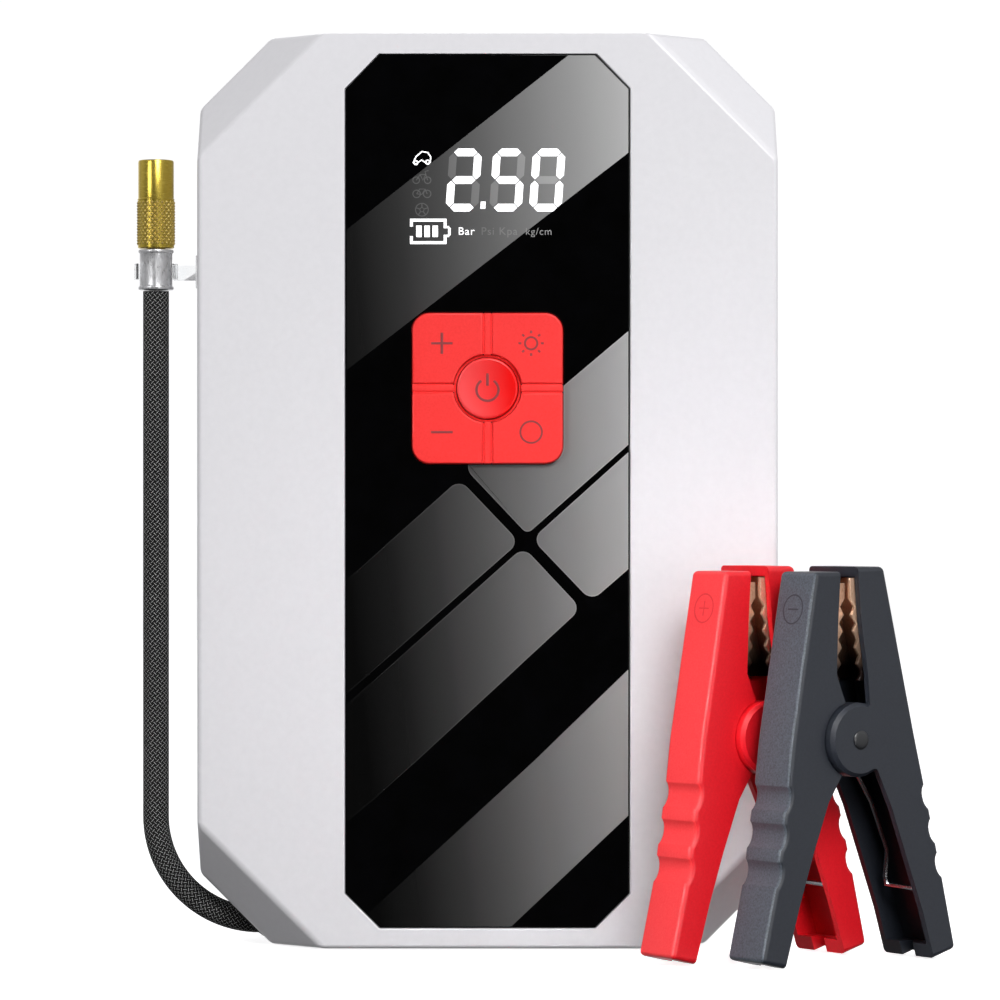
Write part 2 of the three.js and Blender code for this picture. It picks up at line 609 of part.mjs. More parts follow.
// A metal port shell with its tongue.
function port(size, y, z, tongue) {
  const x = [RIGHT - 0.5 - size.depth, RIGHT - 0.5];
  const body = box(x, [y - size.width / 2, y + size.width / 2], [z - size.height / 2, z + size.height / 2]);
  const w = size.wall;
  const room = box(
    [x[0] + 2, x[1] + 1],
    [y - size.width / 2 + w, y + size.width / 2 - w],
    [z - size.height / 2 + w, z + size.height / 2 - w],
  );
  const tip = box(
    [x[0] + 1, x[1] - 1],
    [y - tongue, y + tongue],
    [z - size.height / 2 + w + 1, z + size.height / 2 - w - 1],
  );
  return join(cut(body, room), tip);
}
add("usb_a_port", port(USB_A, usbA.y, usbA.z, 0.9), "steel");
add("usb_c_port", port(USB_C, usbC.y, usbC.z, 0.35), "steel");
const usbBoardY = usbA.y + USB_A.width / 2 + 0.1;
add(
  "usb_board",
  box([IN_RIGHT - 18, IN_RIGHT - 2], [usbBoardY, usbBoardY + BOARD], [usbA.z - 4.8, usbC.z + 6]),
  "board",
);

const lensTop = TOP - 0.1;
const flangeTop = TOP - CASE.wall - 0.1;
const lampBox = (grow, z) =>
  box(
    [-lampHalf.x - grow, lampHalf.x + grow],
    [SOCKET.y - lampHalf.y - grow, SOCKET.y + lampHalf.y + grow],
    z,
  );
add(
  "lamp_lens",
  join(lampBox(0, [flangeTop - 0.5, lensTop]), lampBox(LAMP.flange, [flangeTop - 1.4, flangeTop])),
  "lens",
);
const lampBoardTop = TOP - LAMP.board;
const lampHolder = cut(
  lampBox(2.4, [lampBoardTop + 0.1, flangeTop - 1.5]),
  lampBox(-1, [lampBoardTop - 1, flangeTop]),
);
add("lamp_reflector", lampHolder, "caseWhite");
let lampBoard = lampBox(2.4, [lampBoardTop - BOARD, lampBoardTop]);
for (const x of [-12, 0, 12]) {
  lampBoard = join(
    lampBoard,
    box([x - 2.5, x + 2.5], [SOCKET.y - 2.5, SOCKET.y + 2.5], [lampBoardTop - 0.5, lampBoardTop + 1.2]),
  );
}
add("lamp_board", lampBoard, "board");

// ---------- compressor ----------

// Straight-sided teeth with room between them, centred on the X axis; a tooth or a gap points along +X.
function gearOutline(teeth, gapFirst) {
  const pitch = (GEAR.module * teeth) / 2;
  const step = (2 * Math.PI) / teeth;
  const corner = (radius, width, at) => [
    radius * Math.cos(at + width / radius),
    radius * Math.sin(at + width / radius),
  ];
  return Array.from({ length: teeth }, (_, i) => (i + (gapFirst ? 0.5 : 0)) * step).flatMap((at) => [
    corner(pitch - 1.1 * GEAR.module, -0.7 * GEAR.module, at),
    corner(pitch + 0.85 * GEAR.module, -0.32 * GEAR.module, at),
    corner(pitch + 0.85 * GEAR.module, 0.32 * GEAR.module, at),
    corner(pitch - 1.1 * GEAR.module, 0.7 * GEAR.module, at),
  ]);
}
const moved = (outline, [dx, dy], flip = 1) => outline.map(([x, y]) => [dx + flip * x, dy + y]);

function compressorFrame() {
  const y = [motorY - FRAME.halfWidth, frameBack[1]];
  const end = motorX + MOTOR.radius + 2;
  const plate = box([webX, end], y, [plateZ, plateZ + FRAME.plate]);
  const web = box([webX, webX + FRAME.web], y, [axisZ - FRAME.halfWidth, plateZ + 1]);
  const back = box([webX, end], frameBack, [axisZ - FRAME.halfWidth, plateZ + 1]);
  const wheelRoom = rod(
    "z",
    wheelRadius + 0.5,
    [gearZ - 0.5, gearZ + GEAR.thick + 0.5],
    [wheelX, motorY],
    40,
  );
  return cut(
    join(plate, web, back),
    wheelRoom,
    rod("x", CYLINDER.bore + 1, [webX - 1, webX + FRAME.web + 1], [motorY, axisZ]),
    rod("z", 2.5 + RUN, [plateZ - 1, motorZ], [wheelX, motorY], 20),
    rod("z", MOTOR.boss + GAP, [plateZ - 1, motorZ], [motorX, motorY], 20),
  );
}
add("compressor_frame", compressorFrame(), "aluminium");

const cylinderX = [webX - 0.1 - CYLINDER.length, webX - 0.1];
function cylinderBody() {
  const centre = [motorY, axisZ];
  let body = rod("x", CYLINDER.bore + CYLINDER.wall, cylinderX, centre);
  const fins = 5;
  for (let i = 0; i < fins; i++) {
    const x = cylinderX[0] + (i * (CYLINDER.length - 1.2)) / (fins - 1);
    body = join(body, rod("x", CYLINDER.fin, [x, x + 1.2], centre));
  }
  return cut(body, rod("x", CYLINDER.bore, [cylinderX[0] - 1, cylinderX[1] + 1], centre));
}
add("cylinder", cylinderBody(), "aluminium");

const headX = [cylinderX[0] - 0.1 - HEAD.thick, cylinderX[0] - 0.1];
const headMiddle = (headX[0] + headX[1]) / 2;
const headLow = axisZ - HEAD.height / 2;
add(
  "cylinder_head",
  join(
    box(headX, [motorY - HEAD.width / 2, motorY + HEAD.width / 2], [headLow, headLow + HEAD.height]),
    rod("z", GLAND.barb, [headLow - 4, headLow + 1], [headMiddle, motorY], 12),
  ),
  "aluminium",
);

const pistonFace = wheelX - CRANK.throw - PISTON.reach;
const eyeX = wheelX - CRANK.throw;
function pistonRod() {
  const crown = rod("x", CYLINDER.bore - 0.5, [pistonFace, pistonFace + PISTON.length], [motorY, axisZ]);
  const bar = box([pistonFace + 1, eyeX], [motorY - 2.5, motorY + 2.5], [axisZ - 2.2, axisZ + 2.2]);
  const eye = rod("z", 4.2, [axisZ - 2.2, axisZ + 2.2], [eyeX, motorY], 20);
  return cut(join(crown, bar, eye), rod("z", CRANK.pin + 0.4, [axisZ - 4, axisZ + 4], [eyeX, motorY], 20));
}
add("piston_rod", pistonRod(), "aluminium");
add(
  "piston_cup",
  rod("x", CYLINDER.bore - RUN, [pistonFace - 0.05 - PISTON.cup, pistonFace - 0.05], [motorY, axisZ]),
  "rubber",
);

function crankGear() {
  const disc = prismZ(moved(gearOutline(GEAR.wheel, true), [wheelX, motorY]), [gearZ, gearZ + GEAR.thick]);
  const shaft = rod("z", 2.5, [gearZ + 1, motorZ + 0.5], [wheelX, motorY], 20);
  const cap = rod("z", 3.8, [motorZ, motorZ + 1.5], [wheelX, motorY], 20);
  const pin = rod("z", CRANK.pin, [gearZ - CRANK.pinLength, gearZ + 1], [eyeX, motorY], 16);
  return join(disc, shaft, cap, pin);
}
add("crank_gear", crankGear(), "steel");

const motorTop = motorZ + MOTOR.length;
add(
  "motor_can",
  cut(
    join(
      rod("z", MOTOR.radius, [motorZ, motorTop], [motorX, motorY], 28),
      rod("z", MOTOR.boss, [plateZ, motorZ + 1], [motorX, motorY], 20),
    ),
    rod("z", MOTOR.radius - MOTOR.wall, [motorZ + MOTOR.wall, motorTop + 1], [motorX, motorY], 28),
    rod("z", MOTOR.shaft + RUN, [plateZ - 1, motorTop], [motorX, motorY], 16),
  ),
  "steel",
);
add(
  "motor_endcap",
  cut(
    rod("z", MOTOR.radius, [motorTop + 0.1, motorTop + MOTOR.cap], [motorX, motorY], 28),
    rod("z", MOTOR.shaft + RUN, [motorTop - 1, motorTop + 9], [motorX, motorY], 16),
  ),
  "matteBlack",
);
const pinion = prismZ(
  moved(gearOutline(GEAR.pinion, false), [motorX, motorY], -1),
  [gearZ + 0.4, gearZ + GEAR.thick - 0.4],
);
add(
  "motor_rotor",
  join(
    pinion,
    rod("z", MOTOR.shaft, [gearZ, motorTop + MOTOR.cap + 2], [motorX, motorY], 16),
    rod("z", MOTOR.radius - MOTOR.wall - 2.2, [motorZ + 5, motorTop - 6], [motorX, motorY], 20),
    rod("z", 3.5, [motorTop - 7, motorTop - 1.5], [motorX, motorY], 16),
  ),
  "copper",
);

// ---------- air line: tube, gland, hose, ferrule, chuck and clip ----------

const barbX = glandInner + 3;
const blockTop = CASE.wall + GAP + GLAND.block;
const tubePoints = [
  [headMiddle, motorY, headLow - 0.6], [headMiddle, motorY, headLow - 3], [headMiddle, motorY, headLow - 5.5],
  [headMiddle + 4, motorY - 2.4, headLow - 11.5], [barbX - 4, HOSE.y + 2.4, blockTop + 12],
  [barbX, HOSE.y, blockTop + 5.5], [barbX, HOSE.y, blockTop + 3], [barbX, HOSE.y, blockTop + 0.5],
];
add("air_tube", sweep(tubePoints, AIR_TUBE.outer, 16, 8, AIR_TUBE.inner), "rubber");

function hoseGland() {
  const sleeve = rod("x", HOSE.radius + GLAND.wall, [LEFT, glandInner], [HOSE.y, HOSE.z]);
  const reach = CORNER.cut - GLAND.proud * Math.SQRT2;
  const outside = [[LEFT - 5, reach + 5], [LEFT - 5, -5], [LEFT + reach + 5, -5]];
  const block = box(
    [glandInner - 0.1, glandInner + 6],
    [HOSE.y - 5, HOSE.y + 5],
    [CASE.wall + GAP, blockTop],
  );
  const barb = rod("z", GLAND.barb, [blockTop - 1, blockTop + 4], [barbX, HOSE.y], 12);
  const bore = sweep(
    [[turnCentre.x + HOSE.entry + 2 * GAP, HOSE.y, HOSE.z], ...hosePoints.slice(1, 6)],
    HOSE.radius + GAP,
    8,
    16,
  );
  return cut(join(cut(sleeve, prismY(outside, [FRONT, REAR])), block, barb), bore);
}
add("hose_gland", hoseGland(), "matteBlack");

add("hose", sweep(hosePoints, HOSE.radius, 22, 12), "braid");

const hoseAxis = [hoseX, HOSE.y];
const ferruleZ = hoseTop + GAP;
const ferruleTop = ferruleZ + FERRULE.length;
add(
  "hose_ferrule",
  join(
    rod("z", FERRULE.radius, [ferruleZ, ferruleTop], hoseAxis),
    rod("z", FERRULE.rim, [ferruleZ, ferruleZ + 1], hoseAxis),
    rod("z", FERRULE.rim, [ferruleTop - 0.9, ferruleTop], hoseAxis),
  ),
  "aluminium",
);

const collarZ = ferruleTop + GAP;
const collarTop = collarZ + CHUCK.length;
const seat = collarZ + 7.5;
add(
  "chuck_stem",
  join(
    rod("z", CHUCK.stem, [ferruleTop + 0.05, seat + 0.6], hoseAxis, 20),
    rod("z", CHUCK.bore - 0.3, [seat + 0.3, seat + 1.8], hoseAxis, 20),
    rod("z", 0.7, [seat + 1, collarTop - 5], hoseAxis, 12),
  ),
  "brass",
);
add("chuck_seal", tube("z", CHUCK.bore - 0.2, 1, [seat + 1.9, seat + 3.4], hoseAxis, 20), "rubber");
add(
  "chuck_collar",
  cut(
    join(
      rod("z", CHUCK.knurl, [collarZ, collarZ + CHUCK.knurlLength], hoseAxis, 28),
      rod("z", CHUCK.neck, [collarZ + 1, collarTop], hoseAxis, 28),
    ),
    rod("z", CHUCK.stem + RUN, [collarZ - 1, collarTop], hoseAxis, 20),
    rod("z", CHUCK.bore, [seat, collarTop + 1], hoseAxis, 24),
  ),
  "brass",
);

function hoseClip() {
  const z = [ferruleZ + CLIP.onFerrule, ferruleZ + CLIP.onFerrule + CLIP.height];
  const inner = FERRULE.radius + GAP;
  const ring = tube("z", inner + CLIP.wall, inner, z, hoseAxis, 28);
  const mouth = box([hoseX - CLIP.mouth, hoseX + CLIP.mouth], [HOSE.y - 10, HOSE.y], [z[0] - 1, z[1] + 1]);
  const arm = box([hoseX, LEFT - 1], [HOSE.y + inner + 0.1, HOSE.y + inner + 0.1 + CLIP.wall], z);
  const foot = box([LEFT - 1.6, LEFT - 0.02], [HOSE.y - 1, HOSE.y + inner + 4], [z[0] - 2, z[1] + 2]);
  return join(cut(ring, mouth), arm, foot);
}
add("hose_clip", hoseClip(), "caseWhite");

// ---------- jump clamps ----------

// Each clamp is drawn from its pivot: X across the jaws, Y along the pivot pin, Z up.
// A handle's outer edge has three finger hollows between its pivot and its plain end.
function fingerEdge([x0, z0], [x1, z1], deep, side) {
  const points = [];
  const hollows = 3;
  const land = 0.3; // share of each step that is flat
  const along = (t) => [x0 + (x1 - x0) * t, z0 + (z1 - z0) * t];
  for (let i = 0; i < hollows; i++) {
    for (const t of [0, 0.07, 0.18, 0.33, 0.5, 0.67, 0.82, 0.93, 1]) {
      const [x, z] = along((i + t * (1 - land)) / (hollows - land));
      points.push([x - side * deep * (1 - Math.abs(2 * t - 1) ** 2.5), z]);
    }
  }
  return points;
}

// Outline of a lever, from its jaw tip down the outer edge and up the inner edge.
const levers = {
  left: {
    side: -1,
    proud: 0,
    tip: [[-3.9, 36.9], [-10.9, 36.9]],
    shoulder: [-17.5, 0],
    fingers: [[-18.7, -9.6], [-22.2, -31.6]],
    end: [[-26.1, -47.7], [-19.6, -49.2]],
    inner: [[-15.6, -36], [-11.7, -24.8], [-7.3, -13.6], [-3.1, -7.1], [-2.3, 7.7], [-5, 14.3], [-4.6, 26]],
  },
  right: {
    side: 1,
    proud: CLAMP.proud,
    tip: [[-0.8, 38], [6.9, 38]],
    shoulder: [15.9, 1],
    fingers: [[18.9, -10.5], [24.2, -31.2]],
    end: [[28, -47.3], [21.4, -49.2]],
    inner: [[18.1, -38.6], [14.9, -30.3], [9.1, -15.4], [4.6, -6.2], [2.6, 8.4], [2, 15], [0.2, 26]],
  },
};

const outerEdge = (lever) => [
  lever.tip[1],
  lever.shoulder,
  ...fingerEdge(...lever.fingers, 1.1, lever.side),
  lever.end[0],
];
const leverOutline = (lever) => [lever.tip[0], ...outerEdge(lever), lever.end[1], ...lever.inner];

const farEnd = CLAMP.width;
const mirrorY = ([a, b]) => [farEnd - b, farEnd - a];

// The channel's back wall at a height above the shoulder.
function channelX({ side, tip, shoulder }, z) {
  const outer = tip[1][0] + ((shoulder[0] - tip[1][0]) * (tip[1][1] - z)) / (tip[1][1] - shoulder[1]);
  return outer - side * CLAMP.back;
}

// A lever is a channel with its back outwards. The right one is wider, and its ears stand outside the left
// one's.
function leverBody(lever) {
  const outline = leverOutline(lever);
  const { side, proud, shoulder, fingers, end } = lever;
  let body = prismY(outline, [-proud, farEnd + proud]);
  const high = lever.tip[0][1] - CLAMP.tip;
  const below = end[1][1] + CLAMP.end + 1.5;
  const far = -side * 30;
  const inner = ([x, z], more = 0) => [x - side * (CLAMP.back + more), z];
  const channel = [
    [channelX(lever, high), high], inner(shoulder), inner(fingers[0], 0.9), inner(fingers[1], 0.9),
    inner([end[0][0], below]), [far, below], [far, high],
  ];
  body = cut(body, prismY(channel, [CLAMP.wall - proud, farEnd - CLAMP.wall + proud]));
  // the end wall's notch, where a lead would leave the handle
  const notchX = [end[1][0] - side * 2, end[1][0] + side * 3].sort((a, b) => a - b);
  const notchY = [(farEnd - CLAMP.notch) / 2, (farEnd + CLAMP.notch) / 2];
  body = cut(body, box(notchX, notchY, [end[1][1] - 5, below + 1]));
  const outer = proud > 0;
  const ear = outer ? [-proud, EAR.step - 0.15] : [EAR.step + 0.15, EAR.step + 0.15 + EAR.thick];
  const clear = outer ? [EAR.step, CLAMP.wall + 2] : [-proud - 1, EAR.step];
  for (const span of [clear, mirrorY(clear)]) body = cut(body, rod("y", EAR.radius + GAP, span, [0, 0], 24));
  for (const span of [ear, mirrorY(ear)]) body = join(body, rod("y", EAR.radius, span, [0, 0], 24));
  return cut(body, rod("y", PIVOT.radius + 0.2, [-5, farEnd + 5], [0, 0], 16));
}

// A folded plate inside the jaw: a back and two toothed cheeks. The teeth part towards the pivot.
const toothTop = levers.left.tip[0][1] - CLAMP.tip - GAP - TEETH.lip;
function jawPlate(lever) {
  const { side, proud, tip } = lever;
  const low = EAR.radius + 4.8;
  const high = tip[0][1] - CLAMP.tip - GAP;
  const backX = (z) => channelX(lever, z) - side * GAP;
  const tipX = (z) => (side < 0 ? -1.2 - 0.07 * (toothTop - z) : -1.6 + 0.14 * (toothTop - z));
  const teeth = [[tipX(toothTop), high]];
  for (let i = 0; i <= 2 * TEETH.count; i++) {
    const z = toothTop - ((toothTop - low) * i) / (2 * TEETH.count);
    teeth.push([tipX(z) + (i % 2 ? side * TEETH.depth : 0), z]);
  }
  const cheek = [[backX(high), high], ...teeth, [backX(low), low]];
  const y = [CLAMP.wall + GAP - proud, farEnd - CLAMP.wall - GAP + proud];
  const sheet = TEETH.sheet;
  const room = [
    [backX(high + 1) - side * sheet, high + 1],
    [-side * 20, high + 1],
    [-side * 20, low - 1],
    [backX(low - 1) - side * sheet, low - 1],
  ];
  return cut(prismY(cheek, y), prismY(room, [y[0] + sheet, y[1] - sheet]));
}

function pivotPin() {
  const head = -CLAMP.proud - 0.1 - PIVOT.headHeight;
  const heads = [[head, head + PIVOT.headHeight], mirrorY([head, head + PIVOT.headHeight])];
  return join(
    rod("y", PIVOT.radius, [head + 0.3, farEnd - head - 0.3], [0, 0], 16),
    ...heads.map((span) => rod("y", PIVOT.head, span, [0, 0], 20)),
  );
}

// A torsion spring between the ears, with a leg down each handle.
function spring() {
  const ears = EAR.step + 0.15 + EAR.thick + SPRING.play;
  const coil = tube("y", SPRING.radius, SPRING.radius - SPRING.wire, [ears, farEnd - ears], [0, 0], 20);
  const leg = (side, y, foot) => {
    const half = SPRING.wire / 2;
    const top = side * (SPRING.radius - half);
    return prismY(
      [[top - half, 0], [top + half, 0], [foot + half, -22], [foot - half, -22]],
      [y - half, y + half],
    );
  };
  return join(coil, leg(-1, ears + 1.2, -15.2), leg(1, farEnd - ears - 1.2, 17));
}

function clamp(colour, finish, place) {
  const group = new THREE.Group();
  group.position.set(...place);
  group.rotation.z = THREE.MathUtils.degToRad(CLAMP_POSE.turn);
  for (const [name, lever] of Object.entries(levers)) {
    add(`${colour}_grip_${name}`, leverBody(lever), finish, group);
    add(`${colour}_jaw_${name}`, jawPlate(lever), "copper", group);
  }
  add(`${colour}_pivot_pin`, pivotPin(), "steel", group);
  add(`${colour}_spring`, spring(), "steel", group);
  pack.add(group);
}

// The red clamp stands in front of the case, and the black one in front of the red one.
const turned = new THREE.Vector3(0, 0, 1);
const across = new THREE.Vector3(1, 0, 0).applyAxisAngle(turned, THREE.MathUtils.degToRad(CLAMP_POSE.turn));
const backwards = new THREE.Vector3(0, 1, 0).applyAxisAngle(turned, THREE.MathUtils.degToRad(CLAMP_POSE.turn));
const redPlace = new THREE.Vector3(RIGHT - STAND.fromSide, FRONT - STAND.fromFront, CLAMP_POSE.pivotZ);
redPlace.addScaledVector(backwards, -farEnd);
const blackPlace = redPlace.clone().addScaledVector(across, STAND.shift);
blackPlace.addScaledVector(backwards, -farEnd - STAND.apart);
clamp("black", "clampBlack", blackPlace.toArray());
clamp("red", "clampRed", redPlace.toArray());

export default pack;
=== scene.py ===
import math

import bmesh
import bpy
from mathutils import Matrix, Vector


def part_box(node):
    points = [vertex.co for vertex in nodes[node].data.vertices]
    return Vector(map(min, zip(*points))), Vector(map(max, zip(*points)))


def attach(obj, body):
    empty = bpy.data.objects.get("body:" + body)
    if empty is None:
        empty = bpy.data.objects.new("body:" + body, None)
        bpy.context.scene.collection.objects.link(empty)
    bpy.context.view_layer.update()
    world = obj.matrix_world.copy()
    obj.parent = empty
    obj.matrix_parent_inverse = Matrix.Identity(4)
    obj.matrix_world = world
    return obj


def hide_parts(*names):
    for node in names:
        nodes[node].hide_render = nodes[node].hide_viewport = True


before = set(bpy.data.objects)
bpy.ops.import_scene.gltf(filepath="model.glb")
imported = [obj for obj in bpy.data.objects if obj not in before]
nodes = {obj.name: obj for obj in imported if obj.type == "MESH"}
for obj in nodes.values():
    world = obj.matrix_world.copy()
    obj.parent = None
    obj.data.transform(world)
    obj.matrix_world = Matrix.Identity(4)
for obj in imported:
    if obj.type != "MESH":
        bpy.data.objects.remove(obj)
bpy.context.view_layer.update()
scene = bpy.context.scene
MM = 0.001

# ---------- camera ----------

lens = bpy.data.cameras.new("camera")
lens.lens = 158.5
lens.sensor_width = 36
lens.clip_start = 0.01
camera = bpy.data.objects.new("camera", lens)
camera.location = (0.00284, -1.026, 0.10196)
camera.rotation_euler = (math.radians(90), 0, 0)
scene.collection.objects.link(camera)
scene.camera = camera
scene.view_settings.view_transform = "Standard"

# ---------- colours and nodes ----------


def linear(code):
    """An sRGB hex value as linear red, green, blue and alpha."""
    parts = [int(code[i : i + 2], 16) / 255 for i in (0, 2, 4)]
    return (*[p / 12.92 if p <= 0.04045 else ((p + 0.055) / 1.055) ** 2.4 for p in parts], 1)


def add_node(tree, kind, inputs=None, **settings):
    """Adds a node with its settings. An input is a value, or a socket that it is linked from."""
    made = tree.nodes.new(kind)
    for name, value in settings.items():
        setattr(made, name, value)
    for name, value in (inputs or {}).items():
        if isinstance(value, bpy.types.NodeSocket):
            tree.links.new(value, made.inputs[name])
        else:
            made.inputs[name].default_value = value
    return made


def finish(name, dark, light, grain, rough, bump=0.0, stretch=(1, 1, 1), detail=3, **shader):
    """A surface of two close colours that a noise mixes, whose grain is in millimetres. The same noise moves
    the roughness between two values and stands bump millimetres high. Stretch draws the grain out, as
    brushing does."""
    material = bpy.data.materials.new(name)
    material.use_nodes = True
    tree = material.node_tree
    surface = tree.nodes["Principled BSDF"]
    place = add_node(tree, "ShaderNodeTexCoord")
    drawn = add_node(tree, "ShaderNodeMapping", {"Vector": place.outputs["Object"], "Scale": stretch})
    noise = add_node(
        tree,
        "ShaderNodeTexNoise",
        {"Vector": drawn.outputs["Vector"], "Scale": 1 / (grain * MM), "Detail": detail, "Roughness": 0.6},
    )
    tint = add_node(tree, "ShaderNodeValToRGB", {"Fac": noise.outputs["Fac"]})
    tint.color_ramp.elements[0].position = 0.3
    tint.color_ramp.elements[0].color = linear(dark)
    tint.color_ramp.elements[1].position = 0.7
    tint.color_ramp.elements[1].color = linear(light)
    tree.links.new(tint.outputs["Color"], surface.inputs["Base Color"])
    shine = add_node(
        tree, "ShaderNodeMapRange", {
            "Value": noise.outputs["Fac"], "From Min": 0.3, "From Max": 0.7, "To Min": rough[0],
            "To Max": rough[1]
        }
    )
    tree.links.new(shine.outputs["Result"], surface.inputs["Roughness"])
    if bump:
        relief = add_node(
            tree, "ShaderNodeBump", {"Height": noise.outputs["Fac"], "Strength": 1.0, "Distance": bump * MM}
        )
        tree.links.new(relief.outputs["Normal"], surface.inputs["Normal"])
    for socket, value in shader.items():
        surface.inputs[socket.replace("_", " ")].default_value = value
    return material


def change_along(material, axis, start, end, first, last=None):
    """Changes a material's colour along an axis, between two places in millimetres: from the first colour to
    the last, or to the material's own."""
    tree = material.node_tree
    place = add_node(tree, "ShaderNodeTexCoord")
    parts = add_node(tree, "ShaderNodeSeparateXYZ", {"Vector": place.outputs["Object"]})
    places = {"Value": parts.outputs[axis], "From Min": start * MM, "From Max": end * MM}
    share = add_node(tree, "ShaderNodeMapRange", places)
    own = tree.nodes["Color Ramp"].outputs["Color"]
    mix = add_node(
        tree, "ShaderNodeMix",
        {"Factor": share.outputs["Result"], "A": linear(first), "B": linear(last) if last else own},
        data_type="RGBA",
    )
    tree.links.new(mix.outputs["Result"], tree.nodes["Principled BSDF"].inputs["Base Color"])


# ---------- finishes ----------

# Injection-moulded white ABS, satin: an even cool white with a faint orange peel in its highlights.
white_abs = finish("moulded white ABS", "e5e4e8", "e8e7eb", 1.6, (0.30, 0.34), 0.0015, IOR=1.53)
# The same ABS off a spark-eroded tool, for the lamp's reflector: whiter and duller.
white_holder = finish("matt white ABS", "ececee", "f4f4f6", 0.6, (0.5, 0.6), 0.006, IOR=1.53)
# Black acrylic sheet, cast and flame-polished: a deep black mirror with hardly any texture.
black_acrylic = finish("cast black acrylic", "000000", "020203", 6.0, (0.03, 0.05), 0.0, IOR=1.4)
# Moulded black ABS with a fine spark-eroded grain: matt charcoal.
black_abs = finish("moulded black ABS", "17171a", "202023", 0.35, (0.5, 0.62), 0.01, IOR=1.53)
# Moulded red silicone keys: satin, with a soft sheen on their rounded edges and a faint mottle.
red_keys = finish("moulded red silicone", "f82c2a", "ff3836", 0.5, (0.36, 0.44), 0.004, IOR=1.43)
# The power key is a clearer, glossier red.
power_red_with_painted_light = finish("translucent red silicone", "fb2022", "ff3032", 0.8, (0.28, 0.34), 0.003, IOR=1.43)
# painted light: its colour goes from pale on the left to deep red on the right, as a domed key lit from the
# left would be shaded
change_along(power_red_with_painted_light, "X", -6, 5, "fc4c4e", "f20202")
# Key legends in dark screen-printed ink that the red shows through.
key_ink = finish("screen-printed key ink", "7e2a2e", "8e3438", 0.25, (0.5, 0.6), IOR=1.5)
# Glass-filled nylon with an eroded leather-like grain, as tool grips have: dull grey flecks on black. Its
# grey is much lighter than the satin flanks': partly the grain's own duller look, partly painted light, as
# from a lamp on the left.
grained_black_painted_lit = finish("grained black nylon painted lit", "363c44", "5a626c", 0.42, (0.38, 0.55), 0.035, IOR=1.53)
# The same nylon where the tool was only blasted: smooth satin charcoal.
satin_black = finish("satin black nylon", "1e222a", "272b34", 0.5, (0.40, 0.50), 0.005, IOR=1.53)
# The grips' other colour: a bright signal red, grained and satin in the same places. The grained red is
# lighter than the satin red, partly from the grain's own look and partly as painted light from the left.
grained_red_painted_lit = finish("grained red nylon painted lit", "fb2e34", "ff464a", 0.42, (0.38, 0.52), 0.03, IOR=1.53)
satin_red = finish("satin red nylon", "e2101e", "ee1826", 0.5, (0.36, 0.46), 0.006, IOR=1.53)
# Press-formed copper plate: warm pink-gold, with brush marks along the jaw and darker stains.
copper_plate_with_painted_shade = finish(
    "pressed copper plate", "dca884", "fcd8bc", 0.5, (0.28, 0.42), 0.004, stretch=(3, 3, 0.6), Metallic=0.55
)
# painted shade: towards the pivot, deep between the grips, the plates go nearly black
change_along(copper_plate_with_painted_shade, "Z", 65, 77, "1a0e0a")
# Turned brass: fine rings round the axis and a yellow shine that goes olive in its shadows.
turned_brass = finish(
    "turned brass", "c4a83c", "e0c85c", 0.5, (0.2, 0.28), 0.003, stretch=(0.4, 0.4, 4), Metallic=0.85
)
# Brass under a knurling wheel: the same metal, dulled in its grooves.
knurled_brass = finish("knurled brass", "d0b25a", "e8d080", 0.35, (0.3, 0.36), 0.001, Metallic=0.6)
# Crimped aluminium: bright, with the mottle that the crimping jaws leave.
crimped_aluminium = finish(
    "crimped aluminium", "c0c0c2", "e6e6e8", 0.7, (0.24, 0.4), 0.03, stretch=(1, 1, 0.35), Metallic=0.6
)
# Die-cast aluminium for the compressor: grey and slightly rough.
cast_aluminium = finish("die-cast aluminium", "9b9da0", "b4b6b9", 0.5, (0.38, 0.5), 0.02, Metallic=1.0)
# Zinc-plated steel for screws, ports and the motor can: a cool even shine.
zinc_steel = finish("zinc-plated steel", "b4b8be", "c8ccd2", 0.6, (0.22, 0.32), 0.004, Metallic=1.0)
# Hard-drawn spring wire: bright, with drawing lines along it.
spring_wire = finish("drawn spring steel", "c2c4c8", "e0e2e6", 0.3, (0.16, 0.26), 0.004, Metallic=1.0)
# Blackened steel for the pivot pins, nearly the colour of the grips.
blackened_steel = finish("blackened steel", "17181b", "202124", 0.3, (0.3, 0.4), 0.004, IOR=1.6)
# The red clamp's pin, painted to go with its grips.
red_pin = finish("painted red steel", "d8141f", "e62430", 0.3, (0.3, 0.4), 0.004, IOR=1.5)
# Moulded EPDM rubber, for the socket cover, the pads and seals: matt, very dark and slightly bloomed.
black_rubber = finish("moulded EPDM rubber", "1b1b1c", "272728", 0.6, (0.62, 0.74), 0.012, IOR=1.52)
# The positive lead's sleeve: an even red with a soft plastic shine.
red_pvc = finish("red PVC lead", "b01a1a", "c42626", 0.8, (0.4, 0.5), 0.006, IOR=1.53)
# Solder mask over copper: a dark glassy green, with the tracks showing as paler islands.
solder_mask = finish("green solder mask", "17472a", "2a6d42", 1.2, (0.22, 0.34), 0.01, detail=0, IOR=1.53)
# Aluminium-laminate pouches: dull silver, a little wrinkled.
pouch_foil = finish("aluminium laminate pouch", "8f959d", "a8aeb6", 3.0, (0.3, 0.42), 0.08, Metallic=0.6)
# The rotor's windings: enamelled wire, brown-red and glossy.
copper_winding = finish(
    "enamelled copper wire", "8a3f1c", "c0683a", 0.35, (0.22, 0.34), 0.05, stretch=(1, 1, 3), Metallic=0.9
)
# Clear polycarbonate: slightly cool, with the faint flow lines of moulding.
clear_lens = finish(
    "clear polycarbonate", "f4f8fb", "ffffff", 3.0, (0.04, 0.08), 0.003, IOR=1.58, Transmission_Weight=0.92
)
# The hose clip, moulded in clear plastic, so that it hardly shows beside the hose.
clear_clip = finish(
    "clear moulded clip", "fafcfd", "ffffff", 3.0, (0.05, 0.09), 0.002, IOR=1.3, Transmission_Weight=0.96
)
